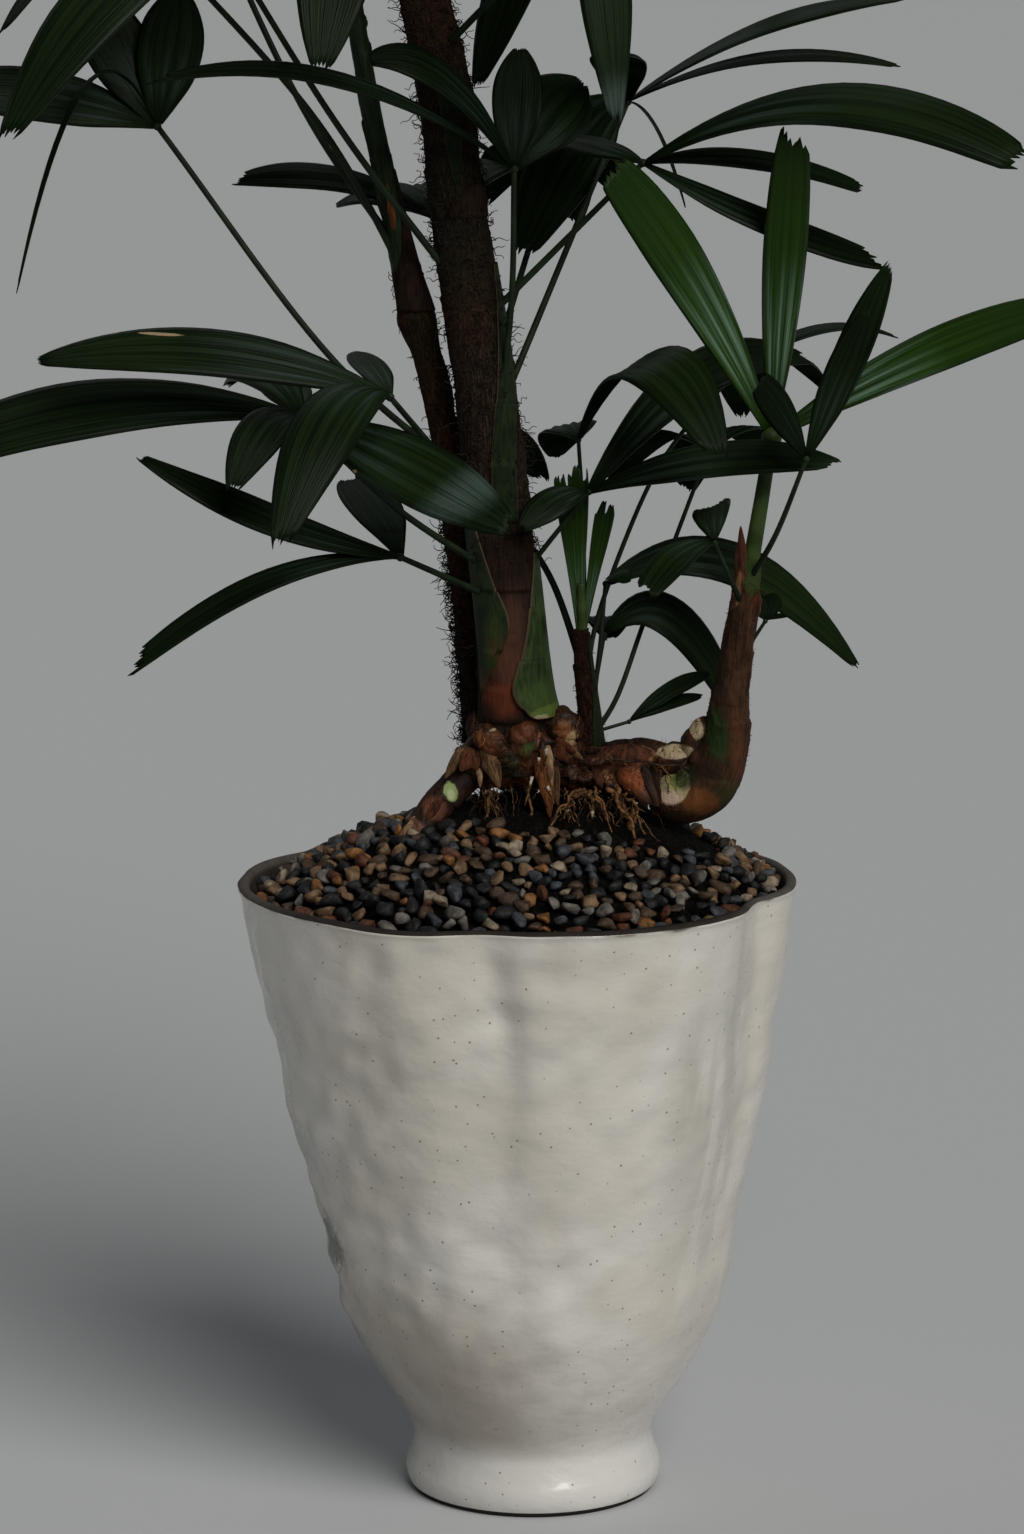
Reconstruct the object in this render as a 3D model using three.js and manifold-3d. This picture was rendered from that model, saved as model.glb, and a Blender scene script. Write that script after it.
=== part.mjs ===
// A lady palm (a small clumping fan palm) growing on its bare rhizome in a footed, four-lobed ceramic pot.
// Millimetres, +Z up. The origin is the centre of the pot's flat underside, and -Y is the plant's front.
// Each stem, frond and part of the pot is one closed solid, GAP clear of what carries it.
import * as THREE from "three";
import { mergeVertices } from "three/addons/utils/BufferGeometryUtils.js";
import Module from "manifold-3d";

const wasm = await Module();
wasm.setup();

// ---------------------------------------------------------------- driving dimensions

const GAP = 0.3; // clearance between two solids that touch on the real plant

const POT = {
  height: 256,
  wall: 7,
  floor: 14, // thickness of the pot's base
  rimShift: -6.5, // how far the hand-made rim stands off the foot's centre, along X
  creases: [-98, -26, 61, 148], // where the wall is pinched in between its lobes, as headings in degrees
  creaseDepth: 6.5, // at the rim
  creaseWidth: 9, // degrees to either side
  lobeSwell: 2.5, // how far a lobe bulges at its middle, at the rim
  sides: 44,
};
// The outer wall's mean radius at each height.
const POT_PROFILE = [
  [0, 50],
  [3, 52],
  [9, 52.8],
  [16, 50.6],
  [23, 49.2],
  [30, 51.6],
  [38, 56.5],
  [48, 63],
  [62, 70.5],
  [80, 77.6],
  [104, 83.8],
  [134, 90],
  [168, 96.8],
  [204, 103.6],
  [236, 109.2],
  [256, 112.5],
];
const INNER_FOOT = 22; // the height where the pot's inner wall meets its floor
// The heights that the smoother inner wall is drawn through.
const INNER_LEVELS = [38, 62, 104, 168, 236, 256];
const INNER_CORNER = 6; // how far the pot's inner wall rounds in where it meets the floor

const SOIL = {
  edge: 246, // its height at the wall
  crown: 279, // and at its middle
  flatness: 3.4, // how level the mound is over its middle
  clear: 1.2, // how far it stays off the pot's wall
  rings: 4,
};

const LEAF = {
  thickness: 1.8,
  steps: 5,
  knuckle: 4.2, // radius of the knot where a frond's leaflets meet
  root: 2, // how far from the knot's centre a leaflet starts
};
// A leaflet's width along its length, as [share of the length, share of the full width].
const LEAF_OUTLINE = [
  [0, 0.14],
  [0.15, 0.52],
  [0.38, 0.95],
  [0.62, 1],
  [0.84, 0.76],
  [1, 0.28],
];
const PETIOLE = { radius: 1.5, sides: 4, steps: 5 };
const ROOT = { radius: 1.9, taper: 0.6, sides: 5, steps: 2 };

// ---------------------------------------------------------------- helpers

const deg = THREE.MathUtils.degToRad;
const vec = (x, y, z) => new THREE.Vector3(x, y, z);
const UP = vec(0, 0, 1);
const heading = (angle) => vec(Math.cos(deg(angle)), Math.sin(deg(angle)), 0);
const smoothPath = (points) => new THREE.CatmullRomCurve3(points.map((p) => vec(...p)));

// The value at x on a line through [x, value] pairs.
function along(pairs, x) {
  let k = 1;
  while (k < pairs.length - 1 && pairs[k][0] < x) k++;
  const [[x0, v0], [x1, v1]] = [pairs[k - 1], pairs[k]];
  return THREE.MathUtils.lerp(v0, v1, THREE.MathUtils.clamp((x - x0) / (x1 - x0), 0, 1));
}

// A closed geometry as a solid that can be joined and cut.
function toSolid(geometry) {
  const bare = geometry.clone();
  for (const name of Object.keys(bare.attributes)) if (name !== "position") bare.deleteAttribute(name);
  const merged = mergeVertices(bare, 1e-4);
  return new wasm.Manifold(
    new wasm.Mesh({
      numProp: 3,
      vertProperties: merged.attributes.position.array,
      triVerts: new Uint32Array(merged.index.array),
    }),
  );
}

function toMesh(name, solid, material) {
  const { vertProperties, triVerts } = solid.getMesh();
  const geometry = new THREE.BufferGeometry();
  geometry.setAttribute("position", new THREE.BufferAttribute(vertProperties, 3));
  geometry.setIndex(new THREE.BufferAttribute(triVerts, 1));
  geometry.computeVertexNormals();
  const mesh = new THREE.Mesh(geometry, material);
  mesh.name = name;
  return mesh;
}

// The largest body of a solid, without the scraps that a cut may leave.
function withoutScraps(solid) {
  const [first, ...others] = solid.decompose();
  return others.reduce((best, body) => (body.volume() > best.volume() ? body : best), first);
}

// Moves every vertex of a geometry to the place that a function gives for it.
function reshape(geometry, place) {
  const position = geometry.attributes.position;
  for (let i = 0; i < position.count; i++) {
    const p = place(vec(position.getX(i), position.getY(i), position.getZ(i)));
    position.setXYZ(i, p.x, p.y, p.z);
  }
  return geometry;
}

// A round limb along a curve: a cylinder whose height becomes the curve, with a radius at each share of it.
function limb(curve, radiusAt, sides, steps) {
  const frames = curve.computeFrenetFrames(steps);
  const points = curve.getSpacedPoints(steps);
  const cylinder = new THREE.CylinderGeometry(1, 1, 1, sides, steps);
  return toSolid(
    reshape(cylinder, (p) => {
      const k = Math.round((p.y + 0.5) * steps);
      const r = radiusAt(k / steps);
      return points[k]
        .clone()
        .addScaledVector(frames.normals[k], r * p.x)
        .addScaledVector(frames.binormals[k], -r * p.z);
    }),
  );
}

// ---------------------------------------------------------------- materials

const finish = (color, roughness) => new THREE.MeshStandardMaterial({ color, roughness, metalness: 0 });
const GLAZE = finish(0xd8d3c8, 0.2);
const EARTH = finish(0x3a332d, 0.9);
const BARK = finish(0x5a3826, 0.85);
const FOLIAGE = finish(0x1f3a1e, 0.35);
const YOUNG = finish(0x3f7a2a, 0.35);

// ---------------------------------------------------------------- pot and soil

// How far the wall stands out at a heading and a height: pinched in at its creases and swollen between them.
function potRelief(angle, z) {
  const fade = Math.pow(z / POT.height, 1.6);
  const offs = POT.creases.map((crease) => Math.abs(((angle - crease + 540) % 360) - 180));
  const nearest = Math.min(...offs) / POT.creaseWidth;
  const pinch = Math.exp(-(nearest ** 2));
  const swell = 1 - Math.exp(-((nearest / 3) ** 2));
  return fade * (POT.lobeSwell * swell - POT.creaseDepth * pinch);
}

const potRadius = (z) => along(POT_PROFILE, z);
const potShift = (z) => POT.rimShift * Math.pow(z / POT.height, 1.5);

// Turns a [radius, height] profile round the pot's leaning axis. Points at the wall follow its lobes, and
// points nearer the axis follow them less.
function lobedLathe(profile) {
  const lathe = new THREE.LatheGeometry(
    profile.map(([r, z]) => new THREE.Vector2(r, z)),
    POT.sides,
  );
  return toSolid(
    reshape(lathe, (p) => {
      const z = p.y;
      const level = Math.min(z, POT.height);
      const r = Math.hypot(p.x, p.z);
      const angle = THREE.MathUtils.radToDeg(Math.atan2(-p.z, p.x));
      const share = r / potRadius(level);
      return heading(angle)
        .multiplyScalar(r + share ** 4 * potRelief(angle, level))
        .add(vec(potShift(level), 0, z));
    }),
  );
}

const innerWall = (inset, top) => INNER_LEVELS.filter((z) => z <= top).map((z) => [potRadius(z) - inset, z]);

function makePot() {
  const outer = POT_PROFILE.map(([z, r]) => [r, z]);
  const bowl = innerWall(POT.wall, POT.height).reverse();
  const corner = [potRadius(INNER_FOOT) - POT.wall - INNER_CORNER, POT.floor];
  return lobedLathe([[0, 0], ...outer, ...bowl, corner, [0, POT.floor]]);
}

function makeSoil() {
  const inset = POT.wall + SOIL.clear;
  const corner = [potRadius(INNER_FOOT) - inset - INNER_CORNER, POT.floor + GAP];
  const brim = potRadius(SOIL.edge) - inset;
  const mound = [];
  for (let k = SOIL.rings; k >= 0; k--) {
    const share = k / SOIL.rings;
    mound.push([share * brim, SOIL.edge + (SOIL.crown - SOIL.edge) * (1 - share ** SOIL.flatness)]);
  }
  return lobedLathe([[0, POT.floor + GAP], corner, ...innerWall(inset, SOIL.edge), ...mound]);
}

// ---------------------------------------------------------------- stems and rhizome

// Each limb's route, its radii from foot to tip as [share of the length, radius], and how finely it is cut.
const STEMS = {
  rhizome: {
    path: [
      [-29, -2, 300], [-14, -3, 306], [4, -3, 306], [20, -2, 302], [38, -4, 299], [52, -8, 296],
    ],
    radii: [[0, 8], [0.15, 14.5], [0.35, 14.5], [0.6, 12], [0.85, 10.5], [1, 8.5]],
    sides: 10,
    steps: 10,
    roots: [
      [[-16, -8, 300], [-18, -12, 284], [-22, -14, 268]],
      [[-2, -10, 300], [1, -15, 284], [-1, -18, 268]],
      [[8, -6, 300], [14, -13, 284], [18, -20, 266]],
      [[24, -6, 298], [29, -13, 284], [27, -19, 266]],
      [[36, -6, 296], [44, -12, 284], [47, -18, 264]],
      [[-6, 6, 300], [-8, 14, 284], [-6, 20, 268]],
      [[30, 4, 297], [34, 12, 284], [32, 18, 266]],
    ],
  },
  left_shoot: {
    path: [[-26, -4, 300], [-36, -9, 291], [-50, -17, 274], [-62, -24, 262]],
    radii: [[0, 7], [0.5, 6.5], [1, 2.5]],
    sides: 8,
    steps: 6,
  },
  main_trunk: {
    path: [
      [-8, 0, 300], [-8, 0, 329], [-11, 0, 370], [-15, 0, 410], [-19, 0, 451], [-25, 1, 491],
      [-31, 2, 531], [-35, 2, 570], [-43, 2, 609], [-50, 1, 650], [-55, 0, 700],
    ],
    radii: [[0, 16], [0.08, 14.5], [0.25, 13.2], [0.5, 11.6], [0.75, 10.2], [0.9, 8], [1, 4]],
    sides: 12,
    steps: 16,
  },
  side_trunk: {
    path: [
      [-20, 17, 292], [-23, 18, 329], [-27, 16, 370], [-32, 14, 410], [-39, 13, 451], [-49, 12, 491],
      [-58, 12, 531], [-66, 12, 570], [-72, 12, 609], [-78, 12, 650],
    ],
    radii: [[0, 7.5], [0.2, 6.2], [0.55, 6], [0.6, 7.2], [0.66, 5.5], [0.72, 4.2], [1, 3]],
    sides: 8,
    steps: 16,
  },
  middle_shoot: {
    path: [[25, -1, 298], [23, -1, 318], [20, 0, 345], [19, 0, 358]],
    radii: [[0, 5.5], [0.4, 4.6], [1, 3]],
    sides: 8,
    steps: 5,
  },
  right_shoot: {
    path: [
      [48, -9, 294], [59, -10, 291], [69, -10, 296], [76, -10, 310], [79, -10, 330], [82, -10, 352],
      [85, -10, 374], [87, -11, 388],
    ],
    radii: [[0, 9.5], [0.12, 11.5], [0.25, 12], [0.4, 9.5], [0.55, 7.2], [0.9, 5.4], [1, 4]],
    sides: 10,
    steps: 12,
  },
};

// A stem with the roots that hang from it, grown on every side by an extra.
function makeStem({ path, radii, sides, steps, roots = [] }, extra = 0) {
  const stem = limb(smoothPath(path), (share) => along(radii, share) + extra, sides, steps);
  const rootRadius = (share) => ROOT.radius - ROOT.taper * share + extra;
  const hanging = roots.map((root) => limb(smoothPath(root), rootRadius, ROOT.sides, ROOT.steps));
  return wasm.Manifold.union([stem, ...hanging]);
}

// The point on a stem's centre line at a height.
function stemPoint(name, z) {
  const points = smoothPath(STEMS[name].path).getSpacedPoints(200);
  return points.reduce((best, p) => (Math.abs(p.z - z) < Math.abs(best.z - z) ? p : best));
}

// ---------------------------------------------------------------- fronds

// One leaflet: a thin blade that leaves the hub on a heading and bows in the upright plane of that heading.
// span is its reach over the ground, rise its tip's height over the hub, and arch how high it bows over the
// straight line between them. Its face is turned as far as it goes towards the frond's facing.
function leaflet(hub, facing, [angle, span, rise, arch, width]) {
  const out = heading(angle);
  const tip = hub.clone().addScaledVector(out, span).addScaledVector(UP, rise);
  const bend = hub.clone().lerp(tip, 0.5).addScaledVector(UP, 2 * arch);
  const start = hub.clone().addScaledVector(bend.clone().sub(hub).normalize(), LEAF.root);
  const curve = new THREE.QuadraticBezierCurve3(start, bend, tip);
  const across = out.clone().cross(UP);
  const level = across.clone().cross(tip.clone().sub(hub).normalize());
  const roll = Math.atan2(facing.dot(across), facing.dot(level));
  const blade = new THREE.CylinderGeometry(1, 1, 1, 3, LEAF.steps);
  return toSolid(
    reshape(blade, (p) => {
      const [share, breadth] = LEAF_OUTLINE[Math.round((p.y + 0.5) * LEAF.steps)];
      const tangent = curve.getTangent(share);
      const side = across.clone().applyAxisAngle(tangent, roll);
      const face = side.clone().cross(tangent);
      return curve
        .getPoint(share)
        .addScaledVector(side, (breadth * width * p.x) / Math.sqrt(3))
        .addScaledVector(face, (LEAF.thickness * p.z) / 1.5);
    }),
  );
}

// Leaflets spread evenly round a heading, as rows of a frond's list.
function fan(aim, spread, count, span, rise, arch) {
  const leaves = [];
  for (let k = 0; k < count; k++) {
    const turn = k / (count - 1) - 0.5;
    const wave = Math.cos(k * 2.4); // an uneven step from one leaflet to the next
    const reach = span * (1 - 0.3 * Math.abs(turn) + 0.06 * wave);
    leaves.push([aim + turn * spread, Math.round(reach), rise + 8 * wave, arch]);
  }
  return leaves;
}

// Every frond: the stem it grows on, the height it leaves it at, the points its petiole passes, its hub, the
// heading and angle its face is tipped towards, the width of its leaflets, and the leaflets themselves as
// [heading, span, rise, arch, width of its own, tip of its own].
const FRONDS = {
  // Low on the main trunk, to the left.
  frond_front_left: {
    stem: "main_trunk", from: 378, via: [[-55, -28, 411]], hub: [-91, -43, 448], facing: [270, 45], width: 30,
    leaves: [[187, 156, -17, 14, 29], [332, 96, -40, 4, 30], [236, 48, -26, 12, 20], [118, 73, 5, 14, 20],
      [106, 62, 10, 6, 20, 20]],
  },
  frond_left: {
    stem: "main_trunk", from: 400, hub: [-56, -68, 459], facing: [270, 45], width: 30,
    leaves: [[183, 139, 14, 11, 24], [242, 88, -52, 24, 27], [102, 84, 10, 4, 14, 10]],
  },
  frond_low_left: {
    stem: "main_trunk", from: 368, hub: [-53, -35, 392], facing: [270, 30], width: 26,
    leaves: [[185, 106, 43, -4, 22, 26], [193, 114, -45, 14, 15, 28], [108, 79, 22, 6, 22]],
  },
  frond_far_left: {
    stem: "main_trunk", from: 412, via: [[-76, -44, 468]], hub: [-147, -40, 562], facing: [270, 55], width: 24,
    leaves: [[187, 88, 15, 5], [0, 10, 54, 2, 26], [209, 62, -69, 50, 4.5, 0], [165, 30, 52, 3, 26]],
  },
  frond_back_left: {
    stem: "main_trunk", from: 470, hub: [-38, 42, 520], facing: [270, 25], width: 22,
    leaves: [[193, 88, 16, 10], [136, 64, 2, 10], [98, 60, 2, 12], [62, 62, 16, 12]],
  },
  // Higher on the main trunk, to the right.
  frond_mid_right: {
    stem: "main_trunk", from: 372, hub: [22, -10, 415], facing: [270, 35], width: 28,
    leaves: [[23, 101, 48, 22, 24], [349, 104, 13, 9, 22], [215, 34, -14, 5, 16]],
  },
  frond_inner_right: {
    stem: "main_trunk", from: 425, via: [[-9, -14, 492]], hub: [-8, -16, 544], facing: [270, 60], width: 26,
    leaves: [[201, 154, 35, 19, 14, 28], [200, 63, 42, 17, 20, 35], [80, 14, 48, 2, 20], [50, 44, 33, 6, 32]],
  },
  frond_upper_right: {
    stem: "main_trunk", from: 437, hub: [38, 38, 568], facing: [270, 50], width: 24,
    leaves: [[340, 118, 42, 10, 20, 20], [352, 112, 14, 11, 14, 15], [183, 46, -68, 14, 32],
      [263, 70, 21, 8, 22, 10], [0, 24, -44, 10, 6, 5]],
  },
  frond_right: {
    stem: "main_trunk", from: 480, hub: [43, -10, 546], facing: [270, 28], width: 30,
    leaves: [[343, 156, 2, 26, 32], [8, 101, -41, -3, 22], [23, 101, -13, 8, 20, 25], [130, 60, 8, 2, 16]],
  },
  // On the shoots to the right of the trunk.
  frond_arched: {
    stem: "middle_shoot", from: 340, via: [[20, 8, 400]], hub: [18, 8, 434], facing: [270, 35], width: 30,
    leaves: [[306, 95, -4, 36, 30], [100, 50, -14, 10, 24]],
  },
  frond_low_right: {
    stem: "middle_shoot", from: 318, via: [[27, 2, 352]], hub: [29, 4, 376], facing: [270, 40], width: 28,
    leaves: [[12, 108, -40, 27, 24], [300, 18, 2, 4, 9]],
  },
  frond_low_back: {
    stem: "middle_shoot", from: 322, hub: [29, 25, 352], facing: [270, 40], width: 24,
    leaves: [[10, 60, -45, 28, 21], [86, 44, -10, 9, 18]],
  },
  frond_seedling: {
    stem: "rhizome", from: 300.5, hub: [39, 12, 318], facing: [270, 30], width: 10,
    leaves: [[0, 34, 20, 3], [355, 31, 11, 2, 8]],
  },
  frond_bright: {
    stem: "right_shoot", from: 372, via: [[90, -11, 405]], hub: [95, -10, 437], facing: [270, 70], width: 21,
    young: true, petiole: 3,
    leaves: [[196, 71, 112, 9], [290, 20, 128, 1, 17], [355, 119, 54, 6, 18]],
  },
  frond_dark: {
    stem: "right_shoot", from: 378, via: [[96, -28, 400]], hub: [107, -42, 432], facing: [270, 60], width: 14,
    leaves: [[0, 33, 79, 0], [329, 27, 61, 2, 12], [200, 21, 33, 2, 13]],
  },
  frond_cupped: {
    stem: "right_shoot", from: 368, hub: [71, -44, 399], facing: [270, 45], width: 20,
    leaves: [[264, 12, 16, 3, 16], [237, 54, -16, 6, 14]],
  },
  frond_withered: {
    stem: "right_shoot", from: 344, hub: [93, -12, 363], facing: [270, 45], width: 8, petiole: 0.9,
    leaves: [[190, 4, 12, 0, 7], [20, 5, 11, 1, 8], [350, 9, 2, 1, 2.5]],
  },
  spear: {
    stem: "middle_shoot", from: 352, hub: [19, -1, 368], facing: [270, 85], width: 10, young: true,
    leaves: [[180, 8, 56, 2], [180, 1, 60, 0], [0, 11, 44, 2], [180, 4, 52, -1, 8]],
  },
  // Behind the trunks.
  frond_back: {
    stem: "middle_shoot", from: 342, via: [[2, 24, 384]], hub: [-45, 72, 418], facing: [90, 25], width: 24,
    leaves: fan(95, 90, 4, 88, -26, 18),
  },
  frond_back_right: {
    stem: "main_trunk", from: 455, hub: [8, 78, 538], facing: [90, 25], width: 24,
    leaves: fan(90, 54, 4, 72, -24, 16),
  },
  frond_shaded_high: {
    stem: "middle_shoot", from: 330, via: [[24, 14, 352], [36, 22, 388], [54, 38, 424]],
    hub: [83, 60, 456], facing: [270, 20], width: 22,
    leaves: [[8, 70, 13, 12, 16, 5], ...fan(85, 60, 3, 80, -22, 14)],
  },
  frond_shaded_low: {
    stem: "middle_shoot", from: 314, via: [[34, 22, 326], [46, 40, 356]],
    hub: [72, 52, 424], facing: [90, 20], width: 21,
    leaves: fan(95, 70, 3, 72, -22, 14),
  },
  // The crown, seen in part.
  frond_crown_front_left: {
    stem: "main_trunk", from: 489, via: [[-74, -16, 556]], hub: [-118, -75, 632], facing: [270, 40], width: 25,
    leaves: [[213, 98, -76, 22, 30], [203, 84, -68, 26, 24], [100, 60, 18, 16], [315, 66, -4, 24]],
  },
  frond_crown_left: {
    stem: "side_trunk", from: 500, via: [[-85, 0, 560]], hub: [-152, -45, 640], facing: [200, 30], width: 23,
    leaves: [[205, 59, -44, 10], [178, 76, -12, 24], [120, 50, 14, 12]],
  },
  frond_crown_back_left: {
    stem: "side_trunk", from: 507, via: [[-90, 16, 562]], hub: [-136, 44, 656], facing: [120, 20], width: 25,
    leaves: fan(112, 116, 4, 104, -6, 26),
  },
  frond_crown_front: {
    stem: "side_trunk", from: 548, via: [[-72, -12, 600]], hub: [-66, -80, 660], facing: [270, 40], width: 25,
    leaves: [[252, 47, -77, 12, 30], [215, 80, -22, 24], [292, 84, -26, 24], [335, 76, -12, 22]],
  },
  frond_crown_front_right: {
    stem: "main_trunk", from: 588, hub: [21, -80, 650], facing: [290, 30], width: 25,
    leaves: [[297, 22, -88, 18, 22], [262, 84, -20, 26], [330, 100, -18, 30], [2, 108, -14, 30],
      [35, 90, 4, 24]],
  },
  frond_crown_back_right: {
    stem: "main_trunk", from: 604, hub: [20, 34, 655], facing: [60, 20], width: 25,
    leaves: [[187, 44, -83, 18, 30, -40], [165, 52, -46, 14, 24], ...fan(52, 100, 3, 108, -10, 30)],
  },
  // The crown's top.
  frond_top_left: {
    stem: "main_trunk", from: 640, hub: [-112, -52, 722], facing: [215, 25], width: 25,
    leaves: fan(212, 126, 4, 112, -22, 30),
  },
  frond_top_front: {
    stem: "main_trunk", from: 652, hub: [-30, -62, 752], facing: [285, 25], width: 25,
    leaves: fan(292, 130, 5, 112, -22, 30),
  },
  frond_top_right: {
    stem: "main_trunk", from: 664, hub: [18, 26, 742], facing: [30, 25], width: 25,
    leaves: fan(25, 126, 4, 112, -22, 30),
  },
  frond_top_back: {
    stem: "main_trunk", from: 674, hub: [-86, 66, 760], facing: [115, 25], width: 25,
    leaves: fan(118, 130, 5, 112, -22, 30),
  },
  frond_top_young: {
    stem: "main_trunk", from: 692, hub: [-62, -2, 775], facing: [270, 30], width: 24, young: true,
    leaves: fan(90, 300, 5, 56, 70, 6),
  },
};

function makeFrond({ stem, from, via = [], hub, facing, width, leaves, petiole = PETIOLE.radius }) {
  const knot = vec(...hub);
  const foot = stemPoint(stem, from);
  const path = new THREE.CatmullRomCurve3([foot, ...via.map((p) => vec(...p)), knot]);
  const stalk = limb(path, (share) => petiole * (1.2 - 0.3 * share), PETIOLE.sides, PETIOLE.steps);
  const knuckle = toSolid(new THREE.OctahedronGeometry(LEAF.knuckle, 0).translate(knot.x, knot.y, knot.z));
  const blades = leaves.map(([angle, span, rise, arch, ownWidth = width, ownTip = facing[1]]) => {
    const face = UP.clone().multiplyScalar(Math.cos(deg(ownTip)));
    face.addScaledVector(heading(facing[0]), Math.sin(deg(ownTip)));
    return leaflet(knot, face, [angle, span, rise, arch, ownWidth]);
  });
  return wasm.Manifold.union([stalk, knuckle, ...blades]);
}

// ---------------------------------------------------------------- assembly

const plant = new THREE.Group();
plant.name = "potted_lady_palm";

// Each limb is cut clear of the ones before it, and what grows on a limb is cut clear of it in turn.
const rooms = {};
const limbs = {};
const clearOfLimbs = (solid) => Object.values(rooms).reduce((rest, room) => rest.subtract(room), solid);
for (const [name, stem] of Object.entries(STEMS)) {
  limbs[name] = withoutScraps(clearOfLimbs(makeStem(stem)));
  rooms[name] = makeStem(stem, GAP);
}
plant.add(toMesh("pot", makePot(), GLAZE));
plant.add(toMesh("soil_bed", clearOfLimbs(makeSoil()), EARTH));
for (const [name, solid] of Object.entries(limbs)) plant.add(toMesh(name, solid, BARK));
for (const [name, frond] of Object.entries(FRONDS)) {
  const solid = withoutScraps(makeFrond(frond).subtract(rooms[frond.stem]));
  plant.add(toMesh(name, solid, frond.young ? YOUNG : FOLIAGE));
}

export default plant;
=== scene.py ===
# %% [markdown]
# # A lady palm in a footed pot
#
# This lesson dresses a plain model of a small potted palm. The real plant is a hand-made pot with a pale
# glaze, a mound of river gravel, a bare knotted rhizome with its roots, canes wrapped in brown fibre, and
# fans of pleated leaflets. The plain model fixes every place and size, and each piece made here stands for
# one or more of its nodes, or lies on them. A cell defines a helper or makes a piece, and prints what it
# made.

# %% Load the plain model
import math
import random

import bmesh
import bpy
import numpy as np
from mathutils import Matrix, Vector, noise


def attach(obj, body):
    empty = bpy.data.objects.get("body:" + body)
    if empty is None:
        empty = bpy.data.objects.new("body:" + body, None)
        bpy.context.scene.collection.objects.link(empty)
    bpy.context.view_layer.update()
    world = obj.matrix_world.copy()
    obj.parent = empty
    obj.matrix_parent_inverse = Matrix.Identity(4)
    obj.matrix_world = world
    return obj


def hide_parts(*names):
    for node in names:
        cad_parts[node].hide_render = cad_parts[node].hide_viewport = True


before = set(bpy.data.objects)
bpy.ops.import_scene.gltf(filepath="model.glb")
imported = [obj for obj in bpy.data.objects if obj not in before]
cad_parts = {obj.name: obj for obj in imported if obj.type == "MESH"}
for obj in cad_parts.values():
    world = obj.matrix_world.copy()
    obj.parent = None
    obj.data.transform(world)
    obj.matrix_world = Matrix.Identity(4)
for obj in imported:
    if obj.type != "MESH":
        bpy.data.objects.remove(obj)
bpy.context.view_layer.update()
MM = 0.001

# %% [markdown]
# The camera stands two metres in front of the plant, level with its crown's foot, and looks slightly down,
# so the pot shows its gravel. A long lens keeps the pot's sides nearly parallel. The camera's place is in
# millimetres, as every size below is unless its comment says otherwise, and its tilt is in degrees.

# %% Camera
FOCAL_LENGTH = 117.3
CAMERA_PLACE = (-8.8, -2000, 657.6)
CAMERA_TILT = 10.1

lens = bpy.data.cameras.new("camera")
lens.lens = FOCAL_LENGTH
camera = bpy.data.objects.new("camera", lens)
camera.location = Vector(CAMERA_PLACE) * MM
camera.rotation_euler = (math.radians(90 - CAMERA_TILT), 0, 0)
bpy.context.collection.objects.link(camera)
bpy.context.scene.camera = camera
print("camera at", [round(x, 3) for x in camera.location])

# %% [markdown]
# The light is what a large window gives: one broad soft source at the front right, far away, so the floor
# is lit evenly. A weaker one high behind puts a sheen on the leaves. The room above is dim, because a
# glossy leaf shows what it mirrors, and deep green only looks deep under a dark ceiling. The floor is a
# plain pale disc, wide enough to fill the background, and what it throws back lights the shaded side.


# %% Light and floor
COOL = (0.93, 0.97, 1.0)
WARM = (1.0, 0.98, 0.95)
# The room's glow at eye level and high up, and the height, of 1, where it is dimmest.
LEVEL_GLOW, HIGH_GLOW, DIM_HEIGHT = 0.11, 0.04, 0.75
FLOOR_RADIUS = 60000
FLOOR_DROP = 0.2


def far_light(name, turn, height, spread, strength, colour):
    """A light far away, at a heading and a height in degrees, as wide in the sky as its spread."""
    data = bpy.data.lights.new(name, "SUN")
    data.energy = strength
    data.angle = math.radians(spread)
    data.color = colour
    light = bpy.data.objects.new(name, data)
    light.rotation_euler = (math.radians(90 - height), 0, math.radians(turn + 90))
    bpy.context.collection.objects.link(light)


far_light("window", -60, 38, 40, 2.4, WARM)
far_light("skylight", 118, 52, 60, 0.3, COOL)

world = bpy.data.worlds.new("room")
world.use_nodes = True
sky = world.node_tree
sky_place = sky.nodes.new("ShaderNodeTexCoord")
sky_height = sky.nodes.new("ShaderNodeSeparateXYZ")
sky_fade = sky.nodes.new("ShaderNodeMapRange")
sky.links.new(sky_place.outputs["Generated"], sky_height.inputs["Vector"])
sky.links.new(sky_height.outputs["Z"], sky_fade.inputs["Value"])
glow = {"From Min": 0.0, "From Max": DIM_HEIGHT, "To Min": LEVEL_GLOW, "To Max": HIGH_GLOW}
for socket, value in glow.items():
    sky_fade.inputs[socket].default_value = value
sky.links.new(sky_fade.outputs["Result"], sky.nodes["Background"].inputs["Strength"])
sky.nodes["Background"].inputs["Color"].default_value = (*COOL, 1)
bpy.context.scene.world = world
bpy.context.scene.view_settings.view_transform = "Standard"

disc = bmesh.new()
bmesh.ops.create_circle(disc, cap_ends=True, segments=96, radius=FLOOR_RADIUS * MM)
floor_mesh = bpy.data.meshes.new("floor")
disc.to_mesh(floor_mesh)
disc.free()
floor = bpy.data.objects.new("floor", floor_mesh)
floor.location.z = -FLOOR_DROP * MM
bpy.context.collection.objects.link(floor)

# %% [markdown]
# Materials are written as Python expressions. `Wire` stands for a node's output and can be added,
# subtracted or multiplied like a number, and `Paint` holds a material and makes its nodes. That keeps a
# material as short as the sentence that describes it.


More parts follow.
